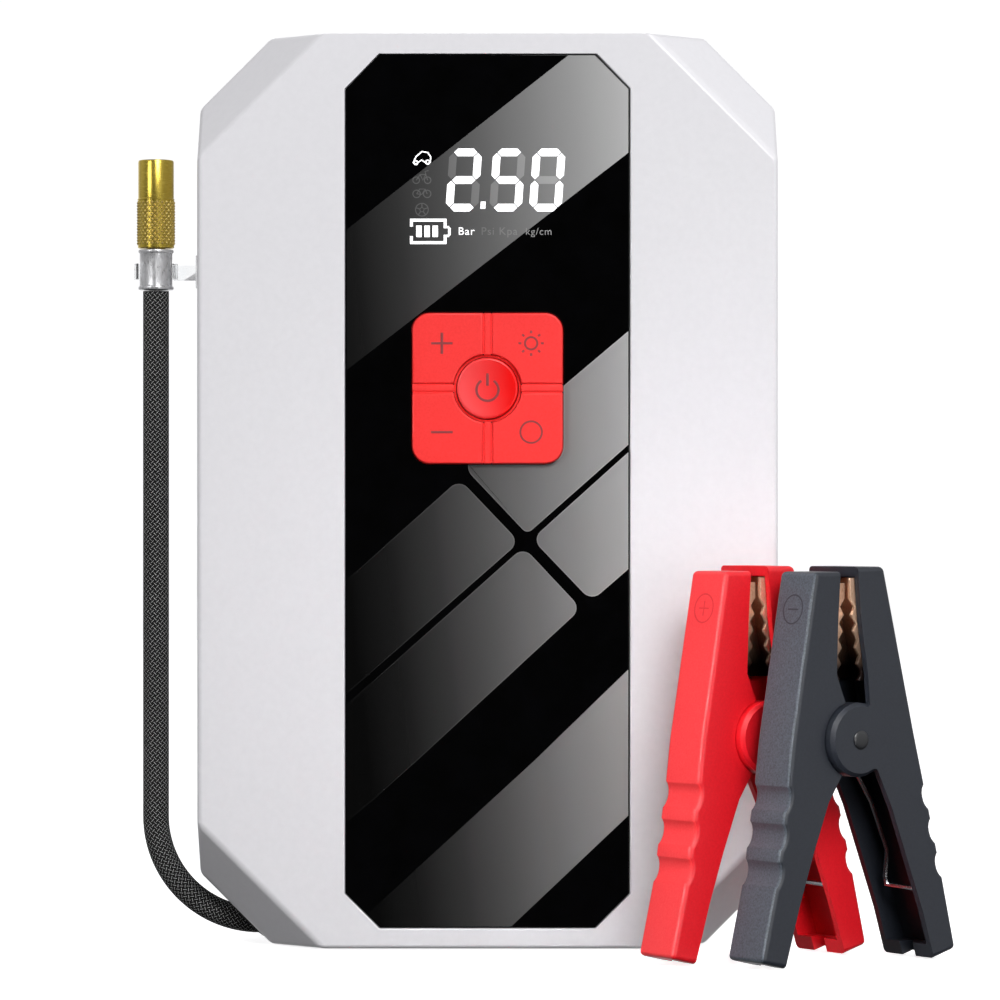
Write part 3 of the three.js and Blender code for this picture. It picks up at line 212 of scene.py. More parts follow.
# White light-emitting segments behind the panel: even, and as bright as paper in daylight.
lit_segment = finish(
    "lit white segment", "f8fbff", "ffffff", 0.6, (0.4, 0.5), Emission_Color=(1, 1, 1, 1),
    Emission_Strength=0.85
)


# How much brighter the panel's painted window reflection gets for a millimetre to the right and for one
# upwards, in steps of 255, and how bright it is in the middle, at a height in millimetres.
STEP_RIGHT, STEP_UP = 2.42, 0.2775
MIDDLE_LEVEL, MIDDLE_HEIGHT = 106, 188.2
REFLECTION_GREYS = ("060606", "1a1a1a", "333333", "4d4d4d", "666666", "808080", "999999", "b3b3b3", "cccccc")


def painted_reflection_fade(name, lift):
    """Grey that fades from black at the panel's left edge to pale grey at its right: the painted reflection
    of a window in the glossy panel, or the same painted fade on a mark. Lift is how much brighter it is than
    the plain band, in steps of 255."""
    material = finish(name, "000000", "000000", 0.5, (0.10, 0.16), IOR=1.4)
    tree = material.node_tree
    place = add_node(tree, "ShaderNodeTexCoord")
    slope = (STEP_RIGHT / 255 / MM, 0, STEP_UP / 255 / MM)
    sloped = {0: place.outputs["Object"], 1: slope}
    fade = add_node(tree, "ShaderNodeVectorMath", sloped, operation="DOT_PRODUCT")
    start = (MIDDLE_LEVEL - STEP_UP * MIDDLE_HEIGHT + lift) / 255
    lifted = {0: fade.outputs["Value"], 1: start}
    level = add_node(tree, "ShaderNodeMath", lifted, operation="ADD", use_clamp=True)
    ramp = add_node(tree, "ShaderNodeValToRGB", {"Fac": level.outputs["Value"]})
    for i, grey in enumerate(REFLECTION_GREYS):
        stop = ramp.color_ramp.elements[0] if i == 0 else ramp.color_ramp.elements.new(i / 10)
        stop.position = i / 10
        stop.color = linear(grey)
    tree.links.new(ramp.outputs["Color"], tree.nodes["Principled BSDF"].inputs["Base Color"])
    return material


# painted reflection: a window's reflection in the glossy panel is painted into its colour, as bands that fade
# brighter to the right and upwards, with a brighter line along their edges
painted_reflection_band = painted_reflection_fade("painted window reflection", 0)
painted_reflection_edge = painted_reflection_fade("painted window reflection edge", 16)
lower_painted_reflection = painted_reflection_fade("painted window reflection of the lower band", 4)
# the unlit segments' and the faint lettering's own dim grey, with the painted reflection's fade from dark on
# the left to lighter on the right
dim_segment_with_painted_fade = painted_reflection_fade("unlit segment", 34)
faint_lettering_with_painted_fade = painted_reflection_fade("faint unlit lettering", 24)

# Braided nylon sleeve: black strands 1.2 mm wide that cross over and under, with a painted highlight of dull
# glints on their tops.
braided_nylon = finish("braided nylon", "141414", "1c1c1c", 0.3, (0.62, 0.75), IOR=1.4)
STRANDS = 16  # each way round the hose
STRAND_STEP = 1.15  # along the hose, in millimetres


def weave_braid():
    """Crosses two sets of rounded strands in the braid's colour and relief, painted lighter where a strand
    stands highest: a painted highlight.
    """
    tree = braided_nylon.node_tree
    surface = tree.nodes["Principled BSDF"]
    # the hose's own map: once round is 1, and a millimetre along is 1
    place = add_node(tree, "ShaderNodeUVMap", uv_map="along")
    cells = add_node(
        tree, "ShaderNodeMapping", {"Vector": place.outputs["UV"], "Scale": (STRANDS, 1 / STRAND_STEP, 1)}
    )
    turned = add_node(
        tree, "ShaderNodeMapping",
        {"Vector": cells.outputs["Vector"], "Rotation": (0, 0, math.radians(45))}
    )
    wide = add_node(
        tree, "ShaderNodeVectorMath", {0: turned.outputs["Vector"], 1: (math.sqrt(2), math.sqrt(2), 1)},
        operation="MULTIPLY"
    )
    over = add_node(
        tree, "ShaderNodeTexChecker",
        {"Vector": wide.outputs["Vector"], "Color1": (1, 1, 1, 1), "Color2": (0, 0, 0, 1), "Scale": 1}
    )
    one = add_node(
        tree, "ShaderNodeTexWave", {"Vector": wide.outputs["Vector"], "Scale": math.pi / 10},
        wave_type="BANDS", bands_direction="X"
    )
    two = add_node(
        tree, "ShaderNodeTexWave", {"Vector": wide.outputs["Vector"], "Scale": math.pi / 10},
        wave_type="BANDS", bands_direction="Y"
    )
    height = add_node(
        tree, "ShaderNodeMix",
        {"Factor": over.outputs["Fac"], "A": one.outputs["Fac"], "B": two.outputs["Fac"]}
    )
    # painted highlight: the higher a strand, the lighter its colour
    tint = add_node(tree, "ShaderNodeValToRGB", {"Fac": height.outputs["Result"]})
    for position, code in ((0.0, "040404"), (0.72, "0a0a0a"), (0.98, "3c3c3c")):
        stop = tint.color_ramp.elements[0] if position == 0 else tint.color_ramp.elements.new(position)
        stop.position, stop.color = position, linear(code)
    tree.links.new(tint.outputs["Color"], surface.inputs["Base Color"])
    relief = add_node(
        tree, "ShaderNodeBump", {"Height": height.outputs["Result"], "Strength": 0.9, "Distance": 0.25 * MM}
    )
    tree.links.new(relief.outputs["Normal"], surface.inputs["Normal"])


weave_braid()

# ---------- pieces ----------


def piece(name, bm, body, materials, stands_for=(), sharp=35, weighted=True):
    """Makes a finished bmesh an object that rides on a body."""
    mesh = bpy.data.meshes.new(name)
    bm.to_mesh(mesh)
    bm.free()
    for material in materials:
        mesh.materials.append(material)
    mesh.shade_smooth()
    mesh.set_sharp_from_angle(angle=math.radians(sharp))
    made = bpy.data.objects.new(name, mesh)
    scene.collection.objects.link(made)
    if weighted:
        made.modifiers.new("flat faces stay flat", "WEIGHTED_NORMAL").keep_sharp = True
    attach(made, body)
    if stands_for:
        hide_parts(*stands_for)
    return made


def merged(node):
    """A copy of a CAD node's mesh with its triangles joined into whole faces."""
    bm = bmesh.new()
    bm.from_mesh(nodes[node].data)
    bmesh.ops.remove_doubles(bm, verts=bm.verts, dist=0.002 * MM)
    bmesh.ops.dissolve_limit(bm, angle_limit=math.radians(0.6), verts=bm.verts, edges=bm.edges)
    bm.normal_update()
    return bm


def round_edges(bm, edges, width, segments=3, clamp=True):
    bmesh.ops.bevel(
        bm, geom=edges, offset=width * MM, offset_type="OFFSET", segments=segments, profile=0.5,
        affect="EDGES", clamp_overlap=clamp, loop_slide=True, material=-1,
    )
    bm.normal_update()


def corners(bm, least=30):
    """The edges where a solid turns outwards by more than an angle."""
    return [e for e in bm.edges if e.is_manifold and e.calc_face_angle_signed(0) > math.radians(least)]


def softened(node, name, body, material, width=0.25, segments=2, least=40):
    """A copy of a CAD node with its sharp edges rounded, in its place."""
    bm = merged(node)
    round_edges(bm, corners(bm, least), width, segments)
    return piece(name, bm, body, [material], [node])


def centre(node):
    low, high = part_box(node)
    return (low + high) / 2


def spun(profile, steps=48):
    """A closed turning about Z from a profile of radius and height, in millimetres."""
    bm = bmesh.new()
    line = [bm.verts.new((r * MM, 0, z * MM)) for r, z in profile]
    edges = [bm.edges.new(pair) for pair in zip(line, line[1:])]
    bmesh.ops.spin(
        bm, geom=line + edges, cent=(0, 0, 0), axis=(0, 0, 1), angle=2 * math.pi, steps=steps,
        use_merge=True
    )
    bmesh.ops.remove_doubles(bm, verts=bm.verts, dist=0.0005 * MM)
    bmesh.ops.recalc_face_normals(bm, faces=bm.faces)
    return bm


# ---------- hose ----------

# The hose's route in millimetres: out of the gland, a quarter turn up, and straight up beside the case.
HOSE_X, HOSE_Y, HOSE_RADIUS = -76.85, -6.0, 3.0
BEND, EXIT_HEIGHT, EXIT_LENGTH, HOSE_TOP = 24, 4.8, 2.25, 150.3
turn_x, turn_z = HOSE_X + BEND, EXIT_HEIGHT + BEND
route = [(turn_x + EXIT_LENGTH, HOSE_Y, EXIT_HEIGHT)]
route += [
    (turn_x - BEND * math.sin(a), HOSE_Y, turn_z - BEND * math.cos(a))
    for a in (math.radians(3 * i) for i in range(31))
]
route += [(HOSE_X, HOSE_Y, turn_z + (HOSE_TOP - turn_z) * i / 60) for i in range(1, 61)]
route = [Vector(p) * MM for p in route]


def hose():
    """A round tube along the route, with a map of how far round and how far along it each point is."""
    bm = bmesh.new()
    uv = bm.loops.layers.uv.new("along")
    frames = []
    for i, at in enumerate(route):
        tangent = (route[min(i + 1, len(route) - 1)] - route[max(i - 1, 0)]).normalized()
        side = Vector((0, 1, 0))
        m = Matrix((side.cross(tangent), side, tangent)).transposed().to_4x4()
        frames.append(Matrix.Translation(at) @ m)
    ring = bmesh.ops.create_circle(
        bm, segments=40, radius=HOSE_RADIUS * MM, cap_ends=True, matrix=frames[0]
    )["verts"]
    edges = list({e for v in ring for e in v.link_edges})
    along = 0.0
    reach = {v: 0.0 for v in ring}
    frame_of = {v: 0 for v in ring}
    for i in range(1, len(frames)):
        along += (route[i] - route[i - 1]).length / MM
        out = bmesh.ops.extrude_edge_only(bm, edges=edges)["geom"]
        new = [g for g in out if isinstance(g, bmesh.types.BMVert)]
        bmesh.ops.transform(bm, matrix=frames[i] @ frames[i - 1].inverted(), verts=new)
        fresh = set(new)
        edges = [g for g in out if isinstance(g, bmesh.types.BMEdge) and fresh.issuperset(g.verts)]
        for v in new:
            reach[v], frame_of[v] = along, i
    bmesh.ops.contextual_create(bm, geom=edges)
    for face in bm.faces:
        spots = []
        for loop in face.loops:
            local = frames[frame_of[loop.vert]].inverted() @ loop.vert.co
            spots.append((math.atan2(local.y, local.x) / (2 * math.pi)) % 1)
        across = max(spots) - min(spots) > 0.5
        for loop, u in zip(face.loops, spots):
            loop[uv].uv = (u + 1 if across and u < 0.5 else u, reach[loop.vert])
    bmesh.ops.recalc_face_normals(bm, faces=bm.faces)
    return piece("braided_hose", bm, "case", [braided_nylon], ["hose"], weighted=False)


hose_piece = hose()

ferrule_low, ferrule_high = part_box("hose_ferrule")
collar_low, collar_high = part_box("chuck_collar")
on_hose = Matrix.Translation((HOSE_X * MM, HOSE_Y * MM, 0))


def ferrule():
    """A crimped sleeve with a rolled rim at each end and eight shallow crimps."""
    low, high = ferrule_low.z / MM, ferrule_high.z / MM
    profile = [
        (2.9, low), (3.8, low), (4.02, low + 0.1), (4.1, low + 0.4), (4.02, low + 0.75), (3.8, low + 0.9)
    ]
    profile += [(3.74, low + 1.3), (3.7, low + 3.2), (3.7, low + 6.2), (3.74, high - 1.3), (3.8, high - 0.85)]
    profile += [(4.02, high - 0.7), (4.1, high - 0.4), (4.0, high - 0.08), (3.8, high), (2.3, high)]
    bm = spun(profile, 64)
    for v in bm.verts:
        angle = math.atan2(v.co.y, v.co.x)
        z = v.co.z / MM
        if low + 1.3 < z < high - 1.3:
            v.co.xy *= 1 + 0.01 * math.cos(8 * angle)
    bm.transform(on_hose)
    return piece(
        "crimped_ferrule", bm, "case", [crimped_aluminium], ["hose_ferrule"], weighted=False
    )


def collar():
    """The chuck's outer sleeve: a plain turned neck over a diamond knurl, bored through."""
    low, high = collar_low.z / MM, collar_high.z / MM
    knurl = (low + 0.5, low + 11.2)
    profile = [(2.25, low), (3.9, low), (4.2, low + 0.15), (4.2, knurl[0] + 0.05), (4.2, knurl[1] - 0.05)]
    profile += [
        (4.3, knurl[1]), (4.3, knurl[1] + 0.15), (4.12, knurl[1] + 0.4), (4.12, high - 0.45),
        (4.02, high - 0.12)
    ]
    profile += [(3.85, high), (3.6, high), (3.5, high - 0.2), (3.5, low + 8), (2.25, low + 8), (2.25, low)]
    bm = spun(profile, 64)
    around, rows, crest, groove = 44, 16, 4.48, 4.1
    grid = bmesh.ops.create_grid(bm, x_segments=around, y_segments=rows, size=0.5)["verts"]
    raised, sunk = [], []
    for v in grid:
        column, row = round((v.co.x + 0.5) * around), round((v.co.y + 0.5) * rows)
        (raised if (column + row) % 2 else sunk).append(v)
        angle = 2 * math.pi * column / around
        radius = (crest if (column + row) % 2 and 0 < row < rows else groove) * MM
        height = (knurl[0] + (knurl[1] - knurl[0]) * row / rows) * MM
        v.co = (radius * math.cos(angle), radius * math.sin(angle), height)
    bmesh.ops.connect_verts(bm, verts=sunk)
    bmesh.ops.remove_doubles(bm, verts=grid, dist=0.002 * MM)
    diamonds = [f for f in bm.faces if len(f.verts) == 3 and f.calc_center_median().xy.length > groove * MM]
    for f in diamonds:
        f.material_index = 1
        f.normal_update()
        if f.normal.xy.dot(f.calc_center_median().xy) < 0:
            f.normal_flip()
    bm.transform(on_hose)
    return piece(
        "brass_chuck_collar", bm, "chuck_collar", [turned_brass, knurled_brass], ["chuck_collar"],
        sharp=28, weighted=False
    )


ferrule_piece = ferrule()
collar_piece = collar()

# ---------- case ----------


def outer_faces(bm):
    """The faces that the whole solid lies behind, which are the case's own outside."""
    found = set()
    points = [v.co.copy() for v in bm.verts]
    for f in bm.faces:
        plane = f.normal.dot(f.verts[0].co)
        if all(f.normal.dot(p) < plane + 0.01 * MM for p in points):
            found.add(f)
    return found


def shell(node, name, front):
    bm = merged(node)
    hull = {f for f in outer_faces(bm) if (f.normal.y < 0.5 if front else f.normal.y > -0.5)}
    edges = [
        e
        for e in bm.edges
        if e.is_manifold
        and all(f in hull for f in e.link_faces)
        and e.calc_face_angle(0) > 0.1
    ]
    round_edges(bm, edges, 1.1, 4)
    face_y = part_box(node)[0].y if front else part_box(node)[1].y
    rim = [
        e
        for e in bm.edges
        if e.is_manifold
        and all(abs(v.co.y - face_y) < 0.01 * MM for v in e.verts)
        and e.calc_face_angle_signed(0) > 1.0
    ]
    round_edges(bm, rim, 0.4, 3)
    return piece(name, bm, "case", [white_abs], [node])


shell("front_shell", "case_front", True)
shell("rear_shell", "case_rear", False)

panel_low, panel_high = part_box("front_panel")
PANEL_Y = panel_low.y / MM
softened("front_panel", "glossy_panel", "case", black_acrylic, 0.22, 3)


def plates(name, outlines, y, body, materials, thick=0.02, inset=0.0, rounded=0.0, clip=False):
    """Thin flat shapes on a front face at y. Each outline is X and Z in millimetres, and a third value in a
    point says that its corner is rounded. Inset gives each shape an edge line in the second material, and
    clip trims it to the panel."""
    bm = bmesh.new()
    for outline in outlines:
        part = bmesh.new()
        points = [part.verts.new((p[0] * MM, y * MM, p[1] * MM)) for p in outline]
        part.faces.new(points)
        soft = [v for v, p in zip(points, outline) if len(p) > 2]
        if soft:
            bmesh.ops.bevel(
                part, geom=soft, offset=rounded * MM, offset_type="OFFSET", segments=6, profile=0.5,
                affect="VERTICES", clamp_overlap=True, material=-1,
            )
        if inset:
            ring = bmesh.ops.inset_region(
                part, faces=part.faces[:], thickness=inset * MM, use_boundary=True, use_even_offset=True
            )["faces"]
            for f in ring:
                f.material_index = 1
        if clip:
            # the panel's own rounded edge, and how far its corners are cut off
            edge, cut = 0.25 * MM, 7.8 * MM
            sides = [(Vector((s * panel_high.x, 0, 0)), Vector((s, 0, 0))) for s in (-1, 1)]
            sides += [(panel_low, Vector((0, 0, -1))), (panel_high, Vector((0, 0, 1)))]
            for s in (-1, 1):
                for z, up in ((panel_low.z, -1), (panel_high.z, 1)):
                    sides.append((Vector((s * (panel_high.x - cut), 0, z)), Vector((s, 0, up)).normalized()))
            for at, normal in sides:
                bmesh.ops.bisect_plane(
                    part, geom=part.verts[:] + part.edges[:] + part.faces[:], plane_co=at - normal * edge,
                    plane_no=normal, clear_outer=True,
                )
        out = bmesh.ops.extrude_face_region(part, geom=part.faces[:])["geom"]
        bmesh.ops.translate(
            part, vec=(0, -thick * MM, 0), verts=[g for g in out if isinstance(g, bmesh.types.BMVert)]
        )
        bmesh.ops.recalc_face_normals(part, faces=part.faces)
        mesh = bpy.data.meshes.new("part")
        part.to_mesh(mesh)
        part.free()
        bm.from_mesh(mesh)
        bpy.data.meshes.remove(mesh)
    return piece(name, bm, body, materials, weighted=False)


def flat_mesh(data, name, move, body, material, flatten=1.0):
    """A curve or a text made a mesh, then turned to face the front and moved to its place."""
    made = bpy.data.objects.new(name, data)
    scene.collection.objects.link(made)
    bpy.context.view_layer.update()
    mesh = bpy.data.meshes.new_from_object(made.evaluated_get(bpy.context.evaluated_depsgraph_get()))
    bpy.data.objects.remove(made)
    bm = bmesh.new()
    bm.from_mesh(mesh)
    bpy.data.meshes.remove(mesh)
    bmesh.ops.remove_doubles(bm, verts=bm.verts, dist=0.001 * MM)
    bm.transform(move @ Matrix.Diagonal((1, flatten, 1, 1)))
    bmesh.ops.recalc_face_normals(bm, faces=bm.faces)
    return piece(name, bm, body, [material], weighted=False)


def strokes(name, lines, width, y, body, material, place=None):
    """Drawn lines of a width, flattened on a front face at y. Each line is a list of X and Z in millimetres,
    and whether it is closed."""
    data = bpy.data.curves.new(name, "CURVE")
    data.dimensions = "3D"
    data.bevel_depth = width / 2 * MM
    data.bevel_resolution = 1
    data.use_fill_caps = True
    for points, closed in lines:
        spline = data.splines.new("POLY")
        spline.points.add(len(points) - 1)
        for point, (x, z) in zip(spline.points, points):
            point.co = (x * MM, 0, z * MM, 1)
        spline.use_cyclic_u = closed
    move = Matrix.Translation((0, y * MM, 0)) if place is None else place
    return flat_mesh(data, name, move, body, material, 0.12)


def circle(x, z, radius, count=28, start=0.0, sweep=360.0):
    """Points on a circle or an arc, with its angles in degrees."""
    steps = count if sweep == 360 else count + 1
    angles = [math.radians(start + sweep * i / count) for i in range(steps)]
    return [(x + radius * math.cos(a), z + radius * math.sin(a)) for a in angles]


# The panel's painted reflection of a window, drawn as thin plates: one plain band, four panes round a
# crossing, and a second band.
pad = centre("button_power")
PAD_X, PAD_Z = pad.x / MM, pad.z / MM
# the keypad's hole in the painted reflection: half its width, and its corners' radius
HOLE, HOLE_CORNER = 17.28, 4.2
upper_band = [(18.9, 203.4), (34, 203.4), (34, 182.4), (-33, 130.7), (-33, 162.6)]
pane_left = [(-33, 82.9), (-6.36, 106.7, 1), (7.27, 92.4, 1), (-33, 57)]
pane_low = [(-33, 54.6), (8.17, 91.3, 1), (21.3, 77.3, 1), (-15.5, 43.2), (-25.5, 34.2), (-33, 28)]
pane_right = [(34, 114.6), (10.1, 93.1, 1), (23.6, 79, 1), (34, 88)]
# the upper right pane runs behind the keypad, so it is cut back round the keypad's corner
hole_low = PAD_Z - HOLE
pane_top = [(34, 142), (HOLE, 127.9), (HOLE, hole_low + HOLE_CORNER)]
pane_top += circle(HOLE - HOLE_CORNER, hole_low + HOLE_CORNER, HOLE_CORNER, 4, -15, -60)
pane_top += [(HOLE - HOLE_CORNER, hole_low), (-4.4, hole_low), (-4.6, 108.6, 1), (9.0, 94.2, 1), (34, 116.3)]
lower_band = [(34, 65.4), (10.8, 42.9), (-26.2, 8.9), (-33, 2.8), (3, 2.8), (34, 32.2)]
painted_reflections = (
    ("panel_painted_reflection", [upper_band, pane_left, pane_low, pane_right, pane_top], painted_reflection_band),
    ("lower_panel_painted_reflection", [lower_band], lower_painted_reflection),
)
for name, outlines, grey in painted_reflections:
    plates(
        name, outlines, PANEL_Y, "case", [grey, painted_reflection_edge], inset=0.22, rounded=2.6, clip=True
    )

# ---------- display ----------

# where the display's parts lie, just in front of the painted reflection
DIGITS_Y, MARKS_Y, LETTERS_Y = PANEL_Y - 0.021, PANEL_Y - 0.02, PANEL_Y - 0.012


def digit(left, low, lit):
    """The seven segments of a slanted digit, as lists of outlines: lit and unlit."""
    wide, tall, bar, gap, slant = 7.4, 14.3, 1.75, 0.16, 1.0 / 14.3
    h, half = tall / 2, bar / 2

    def leaned(*points):
        return [(left + x + z * slant, low + z) for x, z in points]

    def flat(z):
        x0, x1 = half + gap, wide - half - gap
        in0, in1, up, down = x0 + half, x1 - half, z + half, z - half
        return leaned((x0, z), (in0, up), (in1, up), (x1, z), (in1, down), (in0, down))

    def upright(x, z0, z1):
        z0, z1 = z0 + gap, z1 - gap
        low_z, high_z = z0 + half, z1 - half
        return leaned(
            (x, z0), (x + half, low_z), (x + half, high_z), (x, z1), (x - half, high_z), (x - half, low_z)
        )

    segments = {
        "a": flat(tall - half), "g": flat(h), "d": flat(half),
        "f": upright(half, h, tall - half), "b": upright(wide - half, h, tall - half),
        "e": upright(half, half, h), "c": upright(wide - half, half, h),
    }
    return [v for k, v in segments.items() if k in lit], [v for k, v in segments.items() if k not in lit]


lit, unlit = [], []
DIGITS_LOW = 167.5
for left, shown in ((-9.58, "abged"), (0.34, "afgcd"), (9.38, "abcdef")):
    on, off = digit(left, DIGITS_LOW, shown)
    lit += on
    unlit += off
# the decimal point
lit.append([(-1.62, 168.1), (-0.5, 168.1), (-0.42, 169.75), (-1.54, 169.75)])


def rectangle(x0, x1, z0, z1):
    return [(x0, z0), (x1, z0), (x1, z1), (x0, z1)]


# battery mark: a frame in four strokes with open corners on its left, a terminal and three bars
lit += [rectangle(-17.6, -9.3, 165.2, 165.85), rectangle(-17.6, -9.3, 160.1, 160.75)]
lit += [rectangle(-17.6, -16.95, 164.1, 165.2), rectangle(-17.6, -16.95, 160.75, 161.9)]
lit += [
    rectangle(-9.95, -9.3, 163.7, 165.2), rectangle(-9.95, -9.3, 160.75, 162.2),
    rectangle(-9.3, -8.7, 163.7, 164.2)
]
lit += [rectangle(-9.3, -8.7, 161.7, 162.2), rectangle(-8.95, -8.35, 162.1, 163.8)]
lit += [rectangle(-16.2 + 1.85 * i, -14.95 + 1.85 * i, 161.7, 164.3) for i in range(3)]
plates("lit_digits", lit, DIGITS_Y, "case", [lit_segment])
plates("unlit_digits", unlit, DIGITS_Y, "case", [dim_segment_with_painted_fade])

# three dim marks under a lit car: two cycles and a ball
car = [
    (-16.9, 178.6), (-16.2, 180.0), (-14.9, 181.1), (-13.6, 180.9), (-12.9, 179.9), (-13.0, 178.7),
    (-13.6, 178.3), (-15.0, 179.2), (-16.2, 178.3)
]
strokes(
    "lit_car_mark",
    [(car, True), (circle(-16.3, 178.6, 0.45, 12), True), (circle(-13.6, 178.7, 0.45, 12), True)], 0.34,
    MARKS_Y, "case", lit_segment
)
cycle = [
    (circle(-16.2, 174.6, 0.75, 16), True), (circle(-13.6, 174.6, 0.75, 16), True),
    ([(-16.2, 174.6), (-15.3, 175.9), (-14.0, 175.9), (-13.6, 174.6)], False),
    ([(-15.3, 175.9), (-14.7, 174.6), (-14.0, 175.9)], False),
    ([(-14.0, 175.9), (-14.2, 176.6), (-13.4, 176.8)], False)
]
bicycle = [
    (circle(-16.1, 171.5, 0.85, 18), True), (circle(-13.7, 171.5, 0.85, 18), True),
    ([(-16.1, 171.5), (-15.4, 172.6), (-14.2, 172.6), (-14.9, 171.4), (-16.1, 171.5)], False),
    ([(-14.2, 172.6), (-13.7, 171.5)], False)
]
ball_x, ball_z, seam, rim = -14.9, 167.9, 0.55, 1.4
ball = [(circle(ball_x, ball_z, 1.45, 26), True), (circle(ball_x, ball_z, seam, 5, 90), True)]
ball += [
    ([(ball_x + r * math.cos(a), ball_z + r * math.sin(a)) for r in (seam, rim)], False)
    for a in (math.radians(90 + 72 * i) for i in range(5))
]
strokes("dim_marks", cycle + bicycle + ball, 0.26, MARKS_Y, "case", dim_segment_with_painted_fade)


def lettering(name, text, x, z, size, material):
    """A word that starts at x and stands on z."""
    data = bpy.data.curves.new(name, "FONT")
    data.body = text
    data.size = size * MM
    data.extrude = 0.01 * MM
    data.space_character = 1.12
    upright = Matrix.Rotation(math.radians(90), 4, "X")
    move = Matrix.Translation((x * MM, LETTERS_Y * MM, z * MM)) @ upright
    return flat_mesh(data, name, move, "case", material)


UNITS_LOW = 162.2
lettering("unit_bar", "Bar", -6.7, UNITS_LOW, 2.5, lit_segment)
lettering("unit_psi_kpa", "Psi Kpa", -1.5, UNITS_LOW, 2.5, faint_lettering_with_painted_fade)
lettering("unit_per_area", "kg/cm", 8.6, UNITS_LOW, 2.3, faint_lettering_with_painted_fade)

# ---------- keypad ----------

KEY_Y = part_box("button_plus")[0].y / MM


def front_edges(bm, y, least=40):
    """The sharp edges of a solid's front face."""
    return [e for e in corners(bm, least) if all(abs(v.co.y / MM - y) < 0.02 for v in e.verts)]


for key in ("plus", "light", "minus", "mode"):
    bm = merged(f"button_{key}")
    round_edges(bm, front_edges(bm, KEY_Y), 0.4, 4)
    piece(f"{key}_key", bm, f"button_{key}", [red_keys], [f"button_{key}"], sharp=40)

bm = merged("keypad_frame")
round_edges(bm, front_edges(bm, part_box("keypad_frame")[0].y / MM), 0.28, 3)
# webs from the power key's ring to the pad's edge close the grooves beside the ridges, half a millimetre down
pad_half, ring_radius, web_half, web_deep, web_sunk = 17.0, 7.8, 1.02, 2.0, 0.5
for across in (0, 1):
    for sign in (-1, 1):
        size = [web_half * 2, web_deep, web_half * 2]
        size[2 * across] = pad_half - ring_radius
        at = [PAD_X, KEY_Y + web_sunk + web_deep / 2, PAD_Z]
        at[2 * across] += sign * (pad_half + ring_radius) / 2
        stretched = Matrix.Diagonal((*[v * MM for v in size], 1))
        bmesh.ops.create_cube(bm, size=1, matrix=Matrix.Translation(Vector(at) * MM) @ stretched)
piece("keypad_ridges", bm, "case", [red_keys], ["keypad_frame"], sharp=40)

power_low, power_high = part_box("button_power")


def power_key():
    """A round key with a shallow dish and a rounded rim."""
    radius, tall = 6.95, (power_high.y - power_low.y) / MM
    profile = [
        (0, tall - 0.3), (1.5, tall - 0.29), (3.0, tall - 0.25), (4.4, tall - 0.18), (5.5, tall - 0.09),
        (6.2, tall - 0.02)
    ]
    profile += [
        (6.45, tall), (6.7, tall - 0.05), (6.87, tall - 0.2), (radius, tall - 0.45), (radius, 0), (0, 0)
    ]
    bm = spun(profile, 72)
    bm.transform(Matrix.Translation((pad.x, power_high.y, pad.z)) @ Matrix.Rotation(math.radians(90), 4, "X"))
    return piece(
        "power_key", bm, "button_power", [power_red_with_painted_light], ["button_power"], sharp=50,
        weighted=False
    )


power_key()

# legends: a plus, a lamp, a minus, a ring, and the power mark
LEGEND_Y = KEY_Y - 0.005
left_x, right_x, upper_z, lower_z = PAD_X - 10.35, PAD_X + 9.9, PAD_Z + 10.2, PAD_Z - 9.95
strokes(
    "plus_legend",
    [
        ([(left_x - 2.4, upper_z), (left_x + 2.4, upper_z)], False),
        ([(left_x, upper_z - 2.4), (left_x, upper_z + 2.4)], False)
    ],
    0.58, LEGEND_Y, "button_plus", key_ink
)
strokes(
    "minus_legend", [([(left_x - 2.45, lower_z), (left_x + 2.45, lower_z)], False)], 0.58, LEGEND_Y,
    "button_minus", key_ink
)
rays = [
    ([(right_x + r * math.cos(a), upper_z + r * math.sin(a)) for r in (2.25, 2.85)], False)
    for a in (math.radians(45 * i) for i in range(8))
]
strokes(
    "lamp_legend", [(circle(right_x, upper_z, 1.4, 24), True), *rays], 0.48, LEGEND_Y, "button_light",
    key_ink
)
strokes(
    "ring_legend", [(circle(right_x, lower_z, 2.45, 32), True)], 0.44, LEGEND_Y, "button_mode",
    key_ink
)
# the power mark lies in the key's dish, so it sits deeper than the key's rim
strokes(
    "power_legend",
    [
        (circle(PAD_X, PAD_Z - 0.35, 2.5, 26, 125, 290), False),
        ([(PAD_X, PAD_Z + 0.6), (PAD_X, PAD_Z + 3.4)], False)
    ],
    0.62, power_low.y / MM + 0.25, "button_power", key_ink,
)

# ---------- sides, top and back ----------

softened("socket_cover", "rubber_socket_cover", "socket_cover", black_rubber, 0.4, 3)
softened("hose_clip", "hose_clip_ring", "case", clear_clip, 0.25, 2)
softened("hose_gland", "hose_outlet", "case", black_abs, 0.3, 3)
softened("lamp_lens", "lamp_window", "case", clear_lens, 0.3, 3)
softened("usb_a_port", "usb_a_shell", "case", zinc_steel, 0.12, 2)
softened("usb_c_port", "usb_c_shell", "case", zinc_steel, 0.12, 2)
for i in (1, 2, 3, 4):
    softened(f"case_screw_{i}", f"countersunk_screw_{i}", "case", zinc_steel, 0.2, 2)

# ---------- clamps ----------

TURN = math.radians(36)
# the left grip's width, how far the right one stands out past it on each side, and the radius of its discs
CLAMP_WIDTH, PROUD, DISC_RADIUS = 12.4, 2.2, 8.2


def clamp_frame(colour):
    """Where a clamp stands: X across its jaws, Y along its pin from the near face, Z up from the pivot."""
    pivot = Matrix.Translation(centre(f"{colour}_pivot_pin"))
    near_face = Matrix.Translation((0, -CLAMP_WIDTH / 2 * MM, 0))
    return pivot @ Matrix.Rotation(TURN, 4, "Z") @ near_face


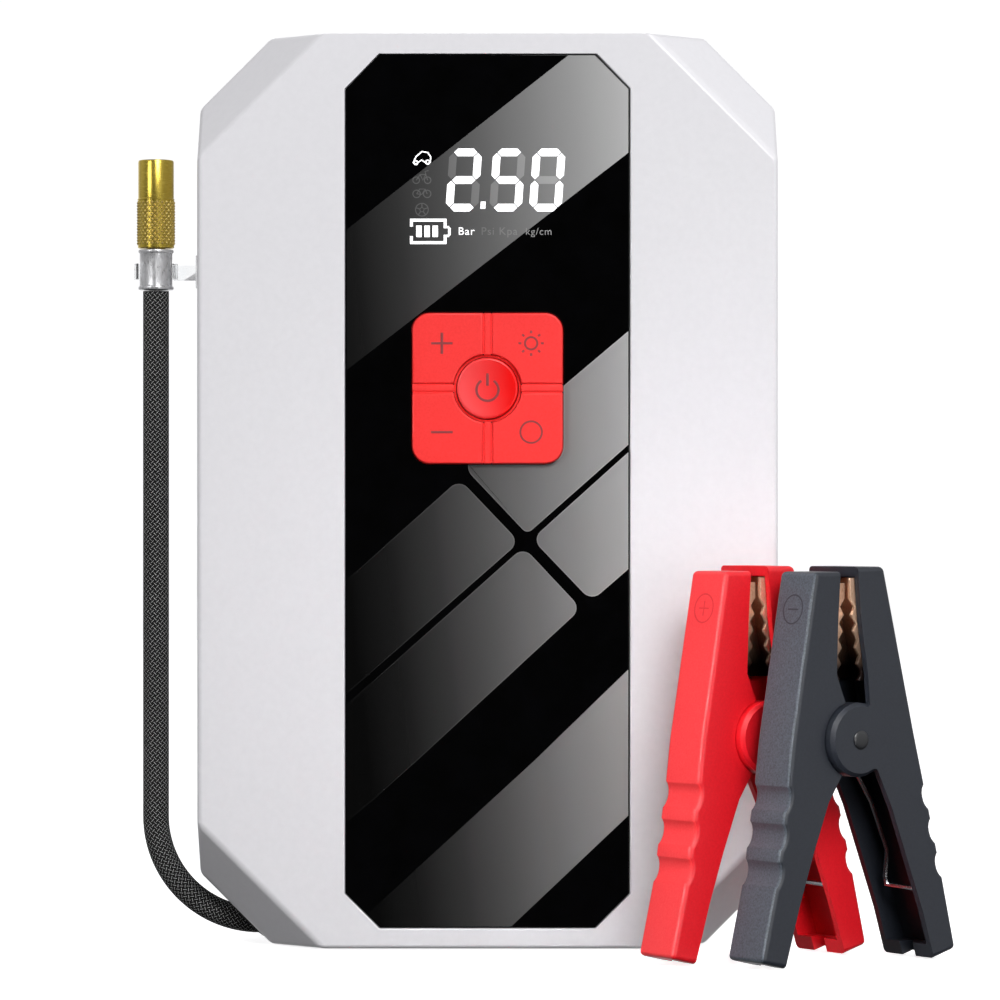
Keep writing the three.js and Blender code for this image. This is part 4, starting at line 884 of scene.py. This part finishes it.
def grip(colour, side, materials, body):
    """A lever's moulded grip: rounded 1.1 mm along its outer edges, and grained on its outer faces, whose
    lighter colour is partly the grain's look and partly painted light.
    """
    sign = -1 if side == "left" else 1
    stand = clamp_frame(colour)
    bm = merged(f"{colour}_grip_{side}")
    bm.transform(stand.inverted())
    bm.normal_update()
    outer = {
        f for f in bm.faces
        if f.normal.x * sign > 0.35 and abs(f.normal.y) < 0.3 and all(v.co.x * sign > 5 * MM for v in f.verts)
    }
    # the ends, above the jaw's tip and below the handle's
    ends = {
        f for f in bm.faces
        if abs(f.normal.z) > 0.9 and not -46 * MM <= f.calc_center_median().z <= 34 * MM
    }
    reach = 0 if side == "left" else PROUD
    near, far = (0.3 - reach) * MM, (CLAMP_WIDTH + reach - 0.3) * MM
    flanks = {f for f in bm.faces if abs(f.normal.y) > 0.95 and not near < f.calc_center_median().y < far}
    for f in outer:
        f.material_index = 1
    edges = []
    for e in corners(bm, 25):
        beside = set(e.link_faces)
        if beside & (outer | ends) and beside <= (outer | ends | flanks) and not beside <= outer:
            edges.append(e)
    round_edges(bm, edges, 1.1, 4, clamp=False)
    if side == "right":
        # the discs round the pivot have a wide chamfer, and stand out past the left grip
        disc = DISC_RADIUS * MM
        rim = [
            e for e in corners(bm, 50)
            if all(abs(v.co.xz.length - disc) < 0.1 * MM and not near < v.co.y < far for v in e.verts)
        ]
        round_edges(bm, rim, 0.8, 1, clamp=False)
    small = [e for e in corners(bm, 50) if e.calc_length() > 0.8 * MM]
    round_edges(bm, small, 0.22, 2)
    bm.transform(stand)
    return piece(
        f"{colour}_{side}_grip", bm, body, materials, [f"{colour}_grip_{side}"], sharp=32
    )


def pin(colour, material):
    """The pivot pin with a domed head at each end."""
    low, high = -PROUD - 0.5, CLAMP_WIDTH + PROUD + 0.5
    dome = [
        (0, high), (1.0, high - 0.03), (1.6, high - 0.12), (1.95, high - 0.24), (2.1, high - 0.4),
        (1.6, high - 0.4)
    ]
    profile = dome + [(r, low + high - z) for r, z in reversed(dome)]
    bm = spun(profile, 32)
    bm.transform(clamp_frame(colour) @ Matrix.Rotation(math.radians(-90), 4, "X"))
    return piece(
        f"{colour}_domed_pin", bm, f"{colour}_clamp", [material], [f"{colour}_pivot_pin"],
        sharp=40, weighted=False
    )


def wire(colour, name, body, points, thick):
    """A length of round spring wire through points in a clamp's own frame, in millimetres."""
    data = bpy.data.curves.new(name, "CURVE")
    data.dimensions = "3D"
    data.bevel_depth = thick / 2 * MM
    data.bevel_resolution = 2
    data.use_fill_caps = True
    spline = data.splines.new("POLY")
    spline.points.add(len(points) - 1)
    for point, co in zip(spline.points, points):
        point.co = (co[0] * MM, co[1] * MM, co[2] * MM, 1)
    return flat_mesh(data, name, clamp_frame(colour), body, spring_wire)


def coil(colour):
    """The torsion spring: turns round the pin, and a leg down each handle that ends in a hook. The right leg
    rides on the right lever, and its start slides round inside the last turn as the clamp opens."""
    first, last, radius, turns, steps = 3.6, CLAMP_WIDTH - 3.6, 3.75, 4, 20
    points = [(-17.2, last, -33.0), (-16.6, first, -33.0), (-16.2, first, -31.5)]
    points += [(-15.2, first, -25.5), (-10.8, first, -14.5), (-5.4, first, -4.6)]
    count = steps * turns + steps // 2
    for i in range(count + 1):
        angle = math.pi + 2 * math.pi * i / steps
        along = first + (last - first) * i / count
        points.append((radius * math.cos(angle), along, radius * math.sin(angle)))
    made = wire(colour, f"{colour}_torsion_spring", f"{colour}_clamp", points, 1.2)
    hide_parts(f"{colour}_spring")
    arc = [math.radians(a) for a in (-36, -27, -18, -9, 0)]
    points = [(radius * math.cos(a), last, radius * math.sin(a)) for a in arc]
    points += [(6, last, -4.6), (12.4, last, -14.5), (17.2, last, -25.5), (16.6, last, -31.5)]
    points += [(17.0, last, -33.2), (18.2, 0.4, -33.6)]
    wire(colour, f"{colour}_spring_leg", f"{colour}_lever", points, 1.16)


def emblem(colour, material):
    """A ring with the lead's sign, on the left grip's outer face below the jaw's tip."""
    # the face's slope
    up = Vector((6.6, 0, 36.9)).normalized()
    out = Vector((-36.9, 0, 6.6)).normalized()
    at = Vector((-12.37, CLAMP_WIDTH / 2, 28.7)) * MM
    face = Matrix((-Vector((0, 1, 0)), -out, up)).transposed().to_4x4()
    place = clamp_frame(colour) @ Matrix.Translation(at) @ face
    lines = [(circle(0, 0, 3.2, 36), True), ([(-1.7, 0), (1.7, 0)], False)]
    if colour == "red":
        lines.append(([(0, -1.7), (0, 1.7)], False))
    return strokes(
        f"{colour}_polarity_mark", lines, 0.4, 0, f"{colour}_clamp", material, place
    )


# each clamp's satin finish, its grained finish that is painted lighter, partly as painted light from the
# left, and its pin's finish
clamp_finishes = (
    ("black", satin_black, grained_black_painted_lit, blackened_steel),
    ("red", satin_red, grained_red_painted_lit, red_pin),
)
for colour, satin, grained, pin_finish in clamp_finishes:
    grip(colour, "left", [satin, grained], f"{colour}_clamp")
    grip(colour, "right", [satin, grained], f"{colour}_lever")
    for side, body in (("left", f"{colour}_clamp"), ("right", f"{colour}_lever")):
        softened(f"{colour}_jaw_{side}", f"{colour}_{side}_copper_jaw", body, copper_plate_with_painted_shade, 0.12, 2)
    pin(colour, pin_finish)
    coil(colour)
    emblem(colour, satin)

# ---------- the CAD nodes that stay ----------

kept = {
    black_abs: ("battery_tray", "jump_socket", "motor_endcap", "display_module"),
    pouch_foil: ("battery_cell_1", "battery_cell_2", "battery_cell_3"),
    black_rubber: ("lead_negative", "piston_cup", "air_tube", "chuck_seal", "keypad_membrane"),
    red_pvc: ("lead_positive",),
    solder_mask: ("usb_board", "lamp_board", "control_board", "main_board"),
    white_holder: ("lamp_reflector",),
    cast_aluminium: ("compressor_frame", "cylinder", "cylinder_head", "piston_rod"),
    zinc_steel: ("crank_gear", "motor_can"),
    copper_winding: ("motor_rotor",),
    turned_brass: ("chuck_stem",),
}
for material, names in kept.items():
    for name in names:
        nodes[name].data.materials.clear()
        nodes[name].data.materials.append(material)

# ---------- floor, light and background ----------

floor_white = finish(
    "matt white card", "f6f6f7", "fafafb", 4.0, (0.8, 0.9), Emission_Color=(1, 1, 1, 1),
    Emission_Strength=0.75
)
bm = bmesh.new()
bmesh.ops.create_circle(
    bm, cap_ends=True, segments=96, radius=2.2, matrix=Matrix.Translation((0, 0, -0.0004))
)
mesh = bpy.data.meshes.new("floor")
bm.to_mesh(mesh)
bm.free()
mesh.materials.append(floor_white)
floor = bpy.data.objects.new("floor", mesh)
scene.collection.objects.link(floor)
# the pack's underside and its glossy panel see the dark studio below it, not the card
floor.visible_diffuse = floor.visible_glossy = floor.visible_shadow = False


def area_light(name, at, aim, size, power, spread=180):
    """A round light of a size in metres and a power in watts. Spread is its beam's angle in degrees."""
    data = bpy.data.lights.new(name, "AREA")
    data.shape = "DISK"
    data.size = size
    data.energy = power
    data.spread = math.radians(spread)
    made = bpy.data.objects.new(name, data)
    made.location = at
    made.rotation_euler = (Vector(aim) - Vector(at)).to_track_quat("-Z", "Y").to_euler()
    scene.collection.objects.link(made)


# one large softbox, high in front and a little to the right, so the facets under the case stay dark
area_light("high_softbox", (0.35, -1.4, 0.95), (0, 0, 0.1), 0.7, 17.6)
# a narrow beam on the clamps' outer faces, which draws their hollows
area_light("left_gridded_softbox", (-0.42, -0.50, 0.24), (0.085, -0.05, 0.045), 0.10, 0.042, 22)
# a soft one on the left, for the hose's end and the left facets
area_light("left_softbox", (-0.50, -0.55, 0.34), (0, -0.05, 0.08), 0.24, 0.9)
# one low on the right, for the clamps' flanks
area_light("low_right_softbox", (0.34, -0.60, 0.03), (0.0, -0.03, 0.06), 0.26, 0.7)

world = bpy.data.worlds.new("studio")
scene.world = world
world.use_nodes = True
tree = world.node_tree
around = add_node(tree, "ShaderNodeTexCoord")
# each card of the studio: its direction, how near a direction has to be to reach it, and how bright it is
cards = (
    ((0, 1, 0), 0.5, 0.8, 1.03),  # the white backdrop
    ((0.2, 0.1, 0.97), 0.5, 0.95, 0.15),  # overhead
    ((-0.83, 0.3, 0.45), 0.55, 0.95, 0.5),  # on the left
    ((0.84, -0.2, 0.5), 0.5, 0.95, 0.85),  # on the right
)
# the dark studio between them
level = add_node(tree, "ShaderNodeValue")
level.outputs[0].default_value = 0.04
for direction, least, most, strength in cards:
    towards = add_node(
        tree, "ShaderNodeVectorMath", {0: around.outputs["Generated"], 1: direction}, operation="DOT_PRODUCT"
    )
    reached = {"Value": towards.outputs["Value"], "From Min": least, "From Max": most, "To Min": 0.0}
    card = add_node(tree, "ShaderNodeMapRange", {**reached, "To Max": strength})
    brightest = {0: level.outputs[0], 1: card.outputs["Result"]}
    level = add_node(tree, "ShaderNodeMath", brightest, operation="MAXIMUM")
background = tree.nodes["Background"]
background.inputs["Color"].default_value = linear("fefeff")
tree.links.new(level.outputs["Value"], background.inputs["Strength"])
